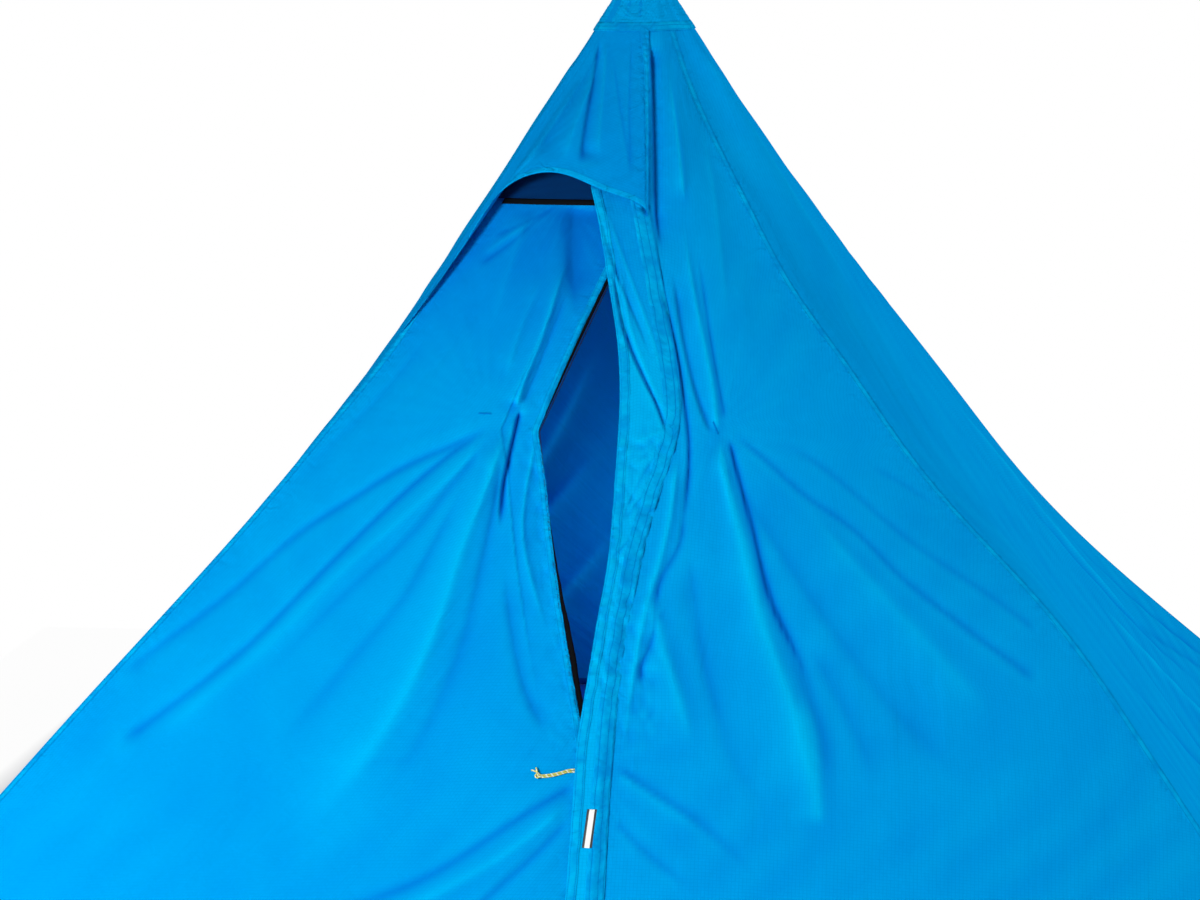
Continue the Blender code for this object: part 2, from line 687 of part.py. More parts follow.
def make_lock(plastic, steel):
    """Clamp on the lower tube's mouth: a split collar, and a lever that closes round it on a pin."""
    low = LOWER_TOP - COLLAR_OVERHANG
    high = low + COLLAR_HEIGHT
    collar = turned("lock_collar", [(COLLAR_RADIUS - 0.0025, low), (COLLAR_RADIUS, low + 0.003),
                                    (COLLAR_RADIUS, high - 0.003), (COLLAR_RADIUS - 0.0025, high),
                                    (UPPER_RADIUS + GAP, high), (UPPER_RADIUS + GAP, LOWER_TOP + GAP),
                                    (LOWER_RADIUS + GAP, LOWER_TOP + GAP), (LOWER_RADIUS + GAP, low)],
                    plastic)
    pin_x = COLLAR_RADIUS + PIN_OFFSET
    middle_z = (low + high) / 2
    knuckle = LEVER_HEIGHT / 2
    ear_height = 0.006
    for side in (-1, 1):
        centre = middle_z + side * (knuckle + GAP + ear_height / 2)
        ear = block("lock_ear_%d" % side, (COLLAR_RADIUS - 0.002, -EAR / 2, centre - ear_height / 2),
                    (pin_x + EAR / 2, EAR / 2, centre + ear_height / 2), plastic)
        combine(collar, ear, "UNION")
        hole = turned("lock_ear_bore_%d" % side, [(0, centre - ear_height), (PIN_RADIUS + GAP, centre - ear_height),
                                                  (PIN_RADIUS + GAP, centre + ear_height),
                                                  (0, centre + ear_height)], plastic, 16)
        hole.data.transform(Matrix.Translation((pin_x, 0, 0)))
        combine(collar, hole, "DIFFERENCE")
    reach = knuckle + GAP + ear_height
    turned("lever_pin", [(0, -reach), (PIN_RADIUS, -reach), (PIN_RADIUS, reach), (0, reach)], steel, 16,
           (pin_x, 0, middle_z))
    inner = COLLAR_RADIUS + GAP
    outer = inner + LEVER_WALL
    first = math.radians(16)
    count = 14

    def arc(radius):
        """Side of the lever: round the collar, flaring at the end where a finger lifts it."""
        line = []
        for k in range(count + 1):
            angle = first + (LEVER_SPAN - first) * k / count
            reach = radius + 0.0030 * smooth(k / count, 0.80, 1.0)
            line.append((reach * math.cos(angle) - pin_x, reach * math.sin(angle)))
        return line

    barrel = [(BARREL_RADIUS * math.cos(a), BARREL_RADIUS * math.sin(a))
              for a in (math.radians(60 - 24 * k) for k in range(11))]
    outline = arc(outer)[::-1] + barrel + arc(inner)
    lever = prism("lock_lever", outline, -knuckle, knuckle, plastic, (pin_x, 0, middle_z))
    bore_tool = turned("lever_bore", [(0, -knuckle - 0.002), (PIN_RADIUS + GAP, -knuckle - 0.002),
                                      (PIN_RADIUS + GAP, knuckle + 0.002), (0, knuckle + 0.002)], steel, 16)
    combine(lever, bore_tool, "DIFFERENCE")


# Hem, corners and stake loops

def make_hem_tape(tape):
    """Tape sewn inside the hem, from one side of the zip round to the other."""
    def path(z, n):
        line = []
        reach = ridge(z) + n
        right, left = ZIP_X + TAPE_WIDTH + 0.001, ZIP_X - TAPE_WIDTH - 0.001
        line += [surface("front", right + (reach - right) * k / 12, z, n) for k in range(12)]
        for face in ("right", "back", "left"):
            line += [surface(face, -reach + 2 * reach * share, z, n) for share in SIDE_COLUMNS[:-1]]
        line += [surface("front", -reach + (left + reach) * k / 12, z, n) for k in range(13)]
        return line

    n_out = -FABRIC - GAP
    heights = (0.0, HEM_TAPE_HEIGHT)
    sheet("hem_tape", [path(z, n_out) for z in heights], [path(z, n_out - HEM_TAPE) for z in heights], tape)


def make_corner(turn, name, fabric, webbing, plastic):
    """Inner patch on the corner, webbing tab, ladder lock and adjustable stake loop outside it."""
    first, second = FACES[turn], FACES[(turn + 1) % 4]
    low = HEM_TAPE_HEIGHT + 0.001

    def path(z, n):
        reach = ridge(z) + n
        spread = 0.012 + PATCH_REACH * (PATCH_HEIGHT - z) / (PATCH_HEIGHT - low)
        here = [surface(first, reach - spread + spread * k / 4, z, n) for k in range(4)]
        return here + [surface(second, -reach + spread * k / 4, z, n) for k in range(5)]

    n_out = -FABRIC - PATCH_CLEAR
    heights = rows(low, PATCH_HEIGHT, 3)
    sheet("corner_patch_" + name, [path(z, n_out) for z in heights],
          [path(z, n_out - HEM_TAPE) for z in heights], fabric)

    place = surface(first, HALF_BASE, 0.0)
    facing = (0, 0, math.atan2(place.y, place.x))
    half = WEBBING_WIDTH / 2
    notch = GAP * math.sqrt(2)
    prism("corner_tab_" + name, [(notch, 0), (notch - half, half), (TAB_LENGTH, half), (TAB_LENGTH, -half),
                                 (notch - half, -half)], 0, WEBBING, webbing, place, facing)

    start = TAB_LENGTH + GAP
    side = LOCK_WIDTH / 2
    strap_low = LOCK_HEIGHT / 2 - WEBBING / 2 - 0.0004
    lock = block("ladder_lock_" + name, (start, -side, 0), (start + LOCK_LENGTH, side, LOCK_HEIGHT), plastic,
                 place, facing)
    slot = block("lock_slot_" + name, (start - 0.01, -half - GAP, strap_low - GAP),
                 (start + LOCK_LENGTH + 0.01, half + GAP, strap_low + WEBBING + GAP), plastic)
    combine(lock, slot, "DIFFERENCE")
    bar = LOCK_LENGTH / 5
    for k, (from_z, to_z) in enumerate(((strap_low, LOCK_HEIGHT + 0.01), (-0.01, strap_low + 0.0005),
                                        (strap_low, LOCK_HEIGHT + 0.01))):
        window = block("lock_window_%s_%d" % (name, k),
                       (start + bar * 2 * k - (0.01 if k == 0 else 0), -half - GAP, from_z),
                       (start + bar * (2 * k + 1) + (0.01 if k == 2 else 0), half + GAP, to_z), plastic)
        combine(lock, window, "DIFFERENCE")

    strap = block("stake_loop_" + name, (STRAP_START, -half, strap_low),
                  (STRAP_START + STRAP_LENGTH, half, strap_low + WEBBING), webbing, place, facing)
    loop = stake_ring("loop_ring_" + name, STRAP_START + STRAP_LENGTH - 0.004, webbing)
    combine(strap, loop, "UNION")


def teardrop(start, length, radius, inset):
    """Outline of a loop in plan: a point at the start, a round far end, drawn in by inset."""
    centre = start + length - radius
    reach = radius - inset
    count = 13
    far = [(centre + reach * math.cos(a), reach * math.sin(a))
           for a in (-LOOP_SPREAD + 2 * LOOP_SPREAD * k / count for k in range(count + 1))]
    tip = start + inset * 2.6
    neck = max(0.0012, 0.0030 - inset)
    return far + [(tip, neck), (tip, -neck)]


def stake_ring(name, start, webbing):
    outer = teardrop(start, LOOP_LENGTH, LOOP_RADIUS, 0.0)
    inner = teardrop(start, LOOP_LENGTH, LOOP_RADIUS, WEBBING)
    return band(name, outer, inner, 0.0, LOOP_HEIGHT, webbing, True)


def make_hem_loop(name, face, a, webbing):
    """Fixed stake loop at the middle of a side, with its webbing sewn up the panel."""
    place = surface(face, a, 0.0)
    facing = (0, 0, FACES.index(face) * math.pi / 2 - math.pi / 2)
    ring = stake_ring("hem_loop_" + name, GAP * 2, webbing)
    ring.location, ring.rotation_euler = place, facing
    half = WEBBING_WIDTH / 2
    tab = face_sheet("hem_loop_tab_" + name, face, rows(0.0, HEM_LOOP_TAB, 2), lambda z, n: a - half,
                     lambda z, n: a + half, rows(0, 1, 2), GAP + WEBBING, GAP, webbing)
    tab.data.transform(Matrix.Rotation(-facing[2], 4, "Z") @ Matrix.Translation(-place))
    combine(ring, tab, "UNION")


def build():
    clear_scene()
    fabric = make_material("ripstop_fabric", (0.0, 0.27, 0.75), 0.5)
    inner_fabric = make_material("reinforcement_fabric", (0.0, 0.10, 0.38), 0.6)
    net = make_material("vent_netting", (0.004, 0.012, 0.045), 0.8)
    tape = make_material("black_tape", (0.010, 0.011, 0.014), 0.7)
    webbing = make_material("black_webbing", (0.014, 0.014, 0.016), 0.75)
    reflective = make_material("reflective_webbing", (0.60, 0.62, 0.62), 0.35)
    cord = make_material("yellow_cord", (0.52, 0.60, 0.09), 0.6)
    metal = make_material("dark_zinc", (0.05, 0.05, 0.055), 0.35, 1.0)
    alloy = make_material("anodised_tube", (0.55, 0.56, 0.58), 0.3, 1.0)
    steel = make_material("steel_pin", (0.55, 0.55, 0.56), 0.3, 1.0)
    plastic = make_material("moulded_plastic", (0.016, 0.016, 0.018), 0.45)
    rubber = make_material("rubber", (0.02, 0.02, 0.02), 0.8)

    make_panels(fabric)
    make_hood(fabric, plastic)
    make_vent(net, tape)
    make_zip_tapes(tape)
    make_flap(fabric)
    eye = make_sliders(metal)
    make_pull_cord(cord, eye)
    make_reflector(reflective)
    for name, x in zip(("door_tie_left", "door_tie_right"), TIE_X):
        tie_tab(name, x, webbing)
    make_cap(inner_fabric)
    make_cup(rubber)
    make_pole(alloy, plastic, rubber, steel)
    make_hem_tape(tape)
    for turn, name in enumerate(("front_right", "back_right", "back_left", "front_left")):
        make_corner(turn, name, inner_fabric, webbing, plastic)
    for name, face, a in (("front", "front", FRONT_LOOP_X), ("right", "right", 0.0), ("back", "back", 0.0),
                          ("left", "left", 0.0)):
        make_hem_loop(name, face, a, webbing)


build()
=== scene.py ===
"""Pyramid tent with one centre pole, pitched, with its front door partly unzipped.

Metres, +Z up, front towards -Y, origin on the ground under the peak. Each section makes one piece
of the tent, or one group of like pieces, in the order in which the tent is sewn and pitched.
"""
import json
import math

import bmesh
import bpy
import numpy as np
from mathutils import Matrix, Vector
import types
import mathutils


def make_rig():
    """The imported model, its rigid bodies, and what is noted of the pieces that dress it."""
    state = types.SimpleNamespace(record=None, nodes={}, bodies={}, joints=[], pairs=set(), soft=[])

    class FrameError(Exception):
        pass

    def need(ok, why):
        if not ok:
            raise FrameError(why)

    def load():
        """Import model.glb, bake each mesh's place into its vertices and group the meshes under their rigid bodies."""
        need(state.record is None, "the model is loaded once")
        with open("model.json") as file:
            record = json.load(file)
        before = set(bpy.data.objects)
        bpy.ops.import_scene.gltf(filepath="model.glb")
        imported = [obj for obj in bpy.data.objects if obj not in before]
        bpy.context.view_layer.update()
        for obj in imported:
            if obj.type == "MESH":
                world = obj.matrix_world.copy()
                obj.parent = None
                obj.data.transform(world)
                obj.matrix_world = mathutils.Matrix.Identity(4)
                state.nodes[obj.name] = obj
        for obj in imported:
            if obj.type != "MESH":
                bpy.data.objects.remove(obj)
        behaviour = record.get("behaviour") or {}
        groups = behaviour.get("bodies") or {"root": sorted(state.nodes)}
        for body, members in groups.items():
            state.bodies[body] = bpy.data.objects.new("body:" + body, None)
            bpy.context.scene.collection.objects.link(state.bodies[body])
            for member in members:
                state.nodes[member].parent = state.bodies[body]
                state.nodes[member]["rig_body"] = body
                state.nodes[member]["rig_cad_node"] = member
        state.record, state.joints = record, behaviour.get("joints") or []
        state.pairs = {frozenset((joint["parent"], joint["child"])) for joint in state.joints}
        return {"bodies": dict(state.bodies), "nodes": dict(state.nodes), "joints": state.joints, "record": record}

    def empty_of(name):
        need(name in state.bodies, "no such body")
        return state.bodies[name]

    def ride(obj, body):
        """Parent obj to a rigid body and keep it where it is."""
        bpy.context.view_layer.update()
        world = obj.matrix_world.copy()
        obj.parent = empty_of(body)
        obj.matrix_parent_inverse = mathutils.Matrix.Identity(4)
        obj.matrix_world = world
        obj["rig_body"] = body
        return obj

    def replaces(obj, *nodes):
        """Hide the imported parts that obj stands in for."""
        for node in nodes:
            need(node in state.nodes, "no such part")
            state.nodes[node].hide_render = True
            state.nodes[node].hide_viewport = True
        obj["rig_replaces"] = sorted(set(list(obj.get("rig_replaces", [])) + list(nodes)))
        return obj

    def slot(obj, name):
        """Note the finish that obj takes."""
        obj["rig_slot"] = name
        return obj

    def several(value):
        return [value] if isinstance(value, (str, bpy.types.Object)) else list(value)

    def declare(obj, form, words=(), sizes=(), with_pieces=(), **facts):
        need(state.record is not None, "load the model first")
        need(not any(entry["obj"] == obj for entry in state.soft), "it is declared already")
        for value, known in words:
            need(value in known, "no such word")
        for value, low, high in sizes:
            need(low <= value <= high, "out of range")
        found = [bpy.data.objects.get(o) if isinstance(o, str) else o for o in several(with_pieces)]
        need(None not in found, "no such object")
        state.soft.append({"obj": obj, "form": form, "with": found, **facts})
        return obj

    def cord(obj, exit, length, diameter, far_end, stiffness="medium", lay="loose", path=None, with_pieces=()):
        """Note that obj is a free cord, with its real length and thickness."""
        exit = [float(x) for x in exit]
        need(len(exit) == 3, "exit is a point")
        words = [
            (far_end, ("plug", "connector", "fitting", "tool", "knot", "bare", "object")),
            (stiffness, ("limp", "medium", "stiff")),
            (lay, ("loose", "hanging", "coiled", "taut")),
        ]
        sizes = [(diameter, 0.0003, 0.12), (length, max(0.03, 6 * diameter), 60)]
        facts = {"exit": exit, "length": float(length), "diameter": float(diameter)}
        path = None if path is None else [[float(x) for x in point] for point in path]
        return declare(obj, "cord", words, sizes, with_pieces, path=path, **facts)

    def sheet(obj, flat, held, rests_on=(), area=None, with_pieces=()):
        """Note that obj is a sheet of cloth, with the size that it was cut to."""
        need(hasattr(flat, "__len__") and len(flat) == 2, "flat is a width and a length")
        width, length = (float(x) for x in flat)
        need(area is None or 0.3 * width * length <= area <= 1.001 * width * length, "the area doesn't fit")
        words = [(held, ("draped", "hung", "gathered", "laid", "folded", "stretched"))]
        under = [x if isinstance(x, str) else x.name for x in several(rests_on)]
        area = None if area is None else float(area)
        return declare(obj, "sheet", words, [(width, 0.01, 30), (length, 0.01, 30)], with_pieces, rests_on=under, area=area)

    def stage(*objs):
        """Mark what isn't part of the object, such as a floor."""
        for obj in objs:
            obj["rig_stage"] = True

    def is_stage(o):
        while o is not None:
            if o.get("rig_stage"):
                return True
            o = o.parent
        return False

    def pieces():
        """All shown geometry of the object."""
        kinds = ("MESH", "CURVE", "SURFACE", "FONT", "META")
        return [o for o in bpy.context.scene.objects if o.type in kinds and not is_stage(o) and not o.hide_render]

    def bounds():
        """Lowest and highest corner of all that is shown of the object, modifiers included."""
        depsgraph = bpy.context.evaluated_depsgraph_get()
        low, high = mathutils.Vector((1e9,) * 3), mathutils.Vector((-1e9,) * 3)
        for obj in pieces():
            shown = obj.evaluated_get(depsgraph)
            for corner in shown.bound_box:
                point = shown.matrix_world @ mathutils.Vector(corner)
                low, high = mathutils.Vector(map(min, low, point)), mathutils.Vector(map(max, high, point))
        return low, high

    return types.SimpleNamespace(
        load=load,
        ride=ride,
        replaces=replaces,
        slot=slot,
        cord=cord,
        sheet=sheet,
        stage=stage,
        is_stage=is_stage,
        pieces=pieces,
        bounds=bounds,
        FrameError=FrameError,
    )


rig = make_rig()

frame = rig.load()
cad_low, cad_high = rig.bounds()
scene = bpy.context.scene
scene.view_settings.view_transform = "Standard"


# Camera: a little above the peak, six metres off and to the right of the door, looking down by nine
# degrees through a long lens, which crops the tent at its cap and on both sides.

turn, dip, roll = math.radians(7.34), math.radians(9.0), math.radians(-0.45)
sideways = np.array([math.cos(turn), math.sin(turn), 0.0])
ahead = np.array([-math.sin(turn) * math.cos(dip), math.cos(turn) * math.cos(dip), -math.sin(dip)])
upright = np.cross(sideways, ahead)
rolled_side = math.cos(roll) * sideways + math.sin(roll) * upright
rolled_up = math.cos(roll) * upright - math.sin(roll) * sideways
camera = bpy.data.objects.new("camera", bpy.data.cameras.new("camera"))
camera.data.lens = 108.72
camera.data.sensor_width = 36.0
camera_at = (0.6924, -6.0115, 1.6022)
axes = np.stack([rolled_side, rolled_up, -ahead, camera_at], axis=1)
camera.matrix_world = Matrix(axes.tolist() + [[0, 0, 0, 1]])
scene.collection.objects.link(camera)
scene.camera = camera


# Cut of the canopy: four panels whose ridges hang in a shallow catenary from the peak to the corners.
# The front is straight down its middle, where the zip is; the other faces are drawn in a little.

HEIGHT = 1.45
HALF_BASE = 1.10
HALF_HEM_MIDDLE = 1.04
HALF_PEAK = 0.017
RIDGE_BOW = 0.318
FACE_BOW = 0.12
FLAT_MIDDLE = 0.03
PANEL_TOP = 1.43
PANEL_EDGE = 0.0003
CLOTH = 0.0008
FACES = ("front", "right", "back", "left")


def column(low, high, count):
    """Even steps that change from row to row of a grid and are alike within a row."""
    return np.linspace(low, high, count)[:, None]


def row(low, high, count):
    """Even steps that change along each row of a grid."""
    return np.linspace(low, high, count)[None, :]


def smooth(value, low, high):
    """Rises from 0 to 1 between low and high, level at both ends: 3 s squared less 2 s cubed."""
    share = np.clip((value - low) / (high - low), 0.0, 1.0)
    return share * share * (3 - 2 * share)


def spline(x, known_x, known_y):
    """Natural cubic spline through the known points: second derivatives from one linear system."""
    known_x, known_y = np.asarray(known_x, float), np.asarray(known_y, float)
    count = len(known_x)
    gap = np.diff(known_x)
    slope = np.diff(known_y) / gap
    system = np.eye(count)
    target = np.zeros(count)
    inner = np.arange(1, count - 1)
    system[inner, inner - 1] = gap[:-1]
    system[inner, inner] = 2 * (gap[:-1] + gap[1:])
    system[inner, inner + 1] = gap[1:]
    target[1:-1] = 6 * np.diff(slope)
    bend = np.linalg.solve(system, target)
    x = np.clip(x, known_x[0], known_x[-1])
    k = np.clip(np.searchsorted(known_x, x) - 1, 0, count - 2)
    left, right = x - known_x[k], known_x[k + 1] - x
    width = gap[k]
    return ((bend[k] * right ** 3 + bend[k + 1] * left ** 3) / (6 * width)
            + (known_y[k] / width - bend[k] * width / 6) * right
            + (known_y[k + 1] / width - bend[k + 1] * width / 6) * left)


def ripple(s, rate, sway, slow):
    """Uneven ripple: the sine of rate s plus sway times the sine of slow s."""
    return np.sin(s * rate + sway * np.sin(s * slow))


def profile(z, pairs):
    """Spline through pairs of a height and a value, both in millimetres."""
    return spline(z, *(np.array(pairs).T / 1000))


def ridge(z):
    """Half the width between two ridges: peak half width plus a share of the spread, with t the drop
    from the peak over the height, and the share t(1 - b) + b t squared."""
    t = (HEIGHT - z) / HEIGHT
    return HALF_PEAK + (HALF_BASE - HALF_PEAK) * (t * (1 - RIDGE_BOW) + RIDGE_BOW * t * t)


def middle(face, z):
    """Distance from the pole to a face's middle line, straight on the front and bowed elsewhere."""
    t = (HEIGHT - z) / HEIGHT
    bow = 0.0 if face == "front" else FACE_BOW
    return HALF_PEAK + (HALF_HEM_MIDDLE - HALF_PEAK) * (t * (1 - bow) + bow * t * t)


CORNER_HEIGHTS = (0.0, 0.20, 0.38, 0.52, 0.66, 0.76, 0.85, 0.94, 1.07, 1.15, 1.28, 1.36, 1.45)
CORNER_SHIFT = {
    "front_left": (0, 12, 18, 12, 5, 2, -3, 2, 8, 10, 8, 4, 2),
    "front_right": (0, 24, 46, 42, -6, -22, -30, -44, -41, -38, -28, -13.5, -3),
    "back_right": (0, -12, -22, -18, -4, 3, 5, 4, 2, -5, -15, -12.5, -3),
    "back_left": (0, 6, 10, 8, 2, 0, 0, 0, 0, 0, 0, 0, 0),
}
ENDS = {"front": ("front_left", "front_right"), "right": ("front_right", "back_right"),
        "back": ("back_right", "back_left"), "left": ("back_left", "front_left")}


def on_face(face, a, z, lift=0.0):
    """Points on a face from a, the distance along it from its middle, and the height z. The depth
    goes from the middle's to the ridge's with the square of a's share of the half width, and each
    ridge is pulled in or out by the pitch, in millimetres, which fades towards the middle."""
    wide = ridge(z)
    flat = np.minimum(FLAT_MIDDLE, 0.5 * wide)
    share = np.clip((np.abs(a) - flat) / (wide - flat), 0.0, 1.3)
    depth = wide + (middle(face, z) - wide) * (1 - share ** 2)
    side = np.abs(a) / wide
    near = smooth(side, 0.35, 1.0)
    left, right = (spline(z, CORNER_HEIGHTS, CORNER_SHIFT[end]) / 1000 for end in ENDS[face])
    shift = np.where(a < 0, left, right) * near
    along = a + np.sign(a) * shift
    depth = depth + shift + lift
    angle = FACES.index(face) * math.pi / 2
    x, y = along, -depth
    return np.stack([x * math.cos(angle) - y * math.sin(angle), x * math.sin(angle) + y * math.cos(angle),
                     z + np.zeros_like(x)], axis=-1)


def along_line(x, z, line):
    """Nearest distance from each point to a line of points, the share of the line's length there, the
    slant, which is the line's run to the side, positive where the point lies above it, and the rise,
    which is its run up or down, positive where the point lies on its left."""
    line = np.asarray(line, float)
    steps = np.hypot(*np.diff(line, axis=0).T)
    starts = np.concatenate([[0.0], np.cumsum(steps)])
    best = np.full(np.shape(x), 1e9)
    where = np.zeros(np.shape(x))
    slant = np.zeros(np.shape(x))
    rise = np.zeros(np.shape(x))
    for k in range(len(steps)):
        way = (line[k + 1] - line[k]) / steps[k]
        run = np.clip((x - line[k, 0]) * way[0] + (z - line[k, 1]) * way[1], 0.0, steps[k])
        side = way[0] * (z - line[k, 1]) - way[1] * (x - line[k, 0])
        apart = np.hypot(x - line[k, 0] - way[0] * run, z - line[k, 1] - way[1] * run)
        nearer = apart < best
        best = np.where(nearer, apart, best)
        where = np.where(nearer, (starts[k] + run) / starts[-1], where)
        slant = np.where(nearer, np.sign(side) * way[0], slant)
        rise = np.where(nearer, np.sign(side) * way[1], rise)
    return best, where, slant, rise


def rounded(line, count=24):
    """The same line with its corners rounded: a spline of each coordinate over the length."""
    line = np.asarray(line, float)
    steps = np.concatenate([[0.0], np.cumsum(np.hypot(*np.diff(line, axis=0).T))])
    s = np.linspace(0.0, steps[-1], count)
    return np.stack([spline(s, steps, line[:, 0]), spline(s, steps, line[:, 1])], axis=-1)


def folds(x, z, rows):
    """Sum of the folds in rows. Each is a line, a half width at its start and end, a height that is
    negative for a crease, all in millimetres, and the shares of its length over which it grows and dies
    away. With q the distance over the half width, the height falls as exp(-1.6 (root(q q + 0.06) -
    0.245)): a tight crest with straight flanks. A slanting crease has its long flank above it, a
    slanting crest below it, and an upright crest leans over to the right, as the cloth hangs from the
    peak on the left."""
    x, z = np.broadcast_arrays(x, z)
    total = np.zeros(x.shape)
    for points, first, last, height, grow, fade in rows:
        line = np.array(points) / 1000
        apart, share, slant, rise = along_line(x, z, rounded(line) if len(line) > 2 else line)
        width = (first + (last - first) * share) / 1000 * (1 + np.sign(height) * (0.55 * rise - 0.25 * slant))
        taper = smooth(share, -0.001, grow) * (1 - smooth(share, 1 - fade, 1.001))
        total += height / 1000 * taper * np.exp(-1.6 * (np.sqrt((apart / width) ** 2 + 0.06) - 0.245))
    return total


def fan(x, z, centre, reach, count, height, turn):
    """Fine pleats that spread from a point where the cloth is held: narrow crests at even angles, at
    their highest one reach from the point. Each crest is the fourth power of a cosine of the angle."""
    across, up = x - centre[0], z - centre[1]
    apart = np.hypot(across, up) / reach
    angle = np.arctan2(up, across)
    pleat = np.cos(0.5 * count * angle + turn + 1.3 * np.sin(2 * angle + turn)) ** 4 - 0.375
    return height * apart * np.exp(1 - apart) * smooth(apart, 0.0, 0.6) * pleat


# Folds of the front: the cloth is drawn to the two tie tabs beside the door, hangs slack round the
# open zip and is creased from the peak, so crests and creases fan out from those places.

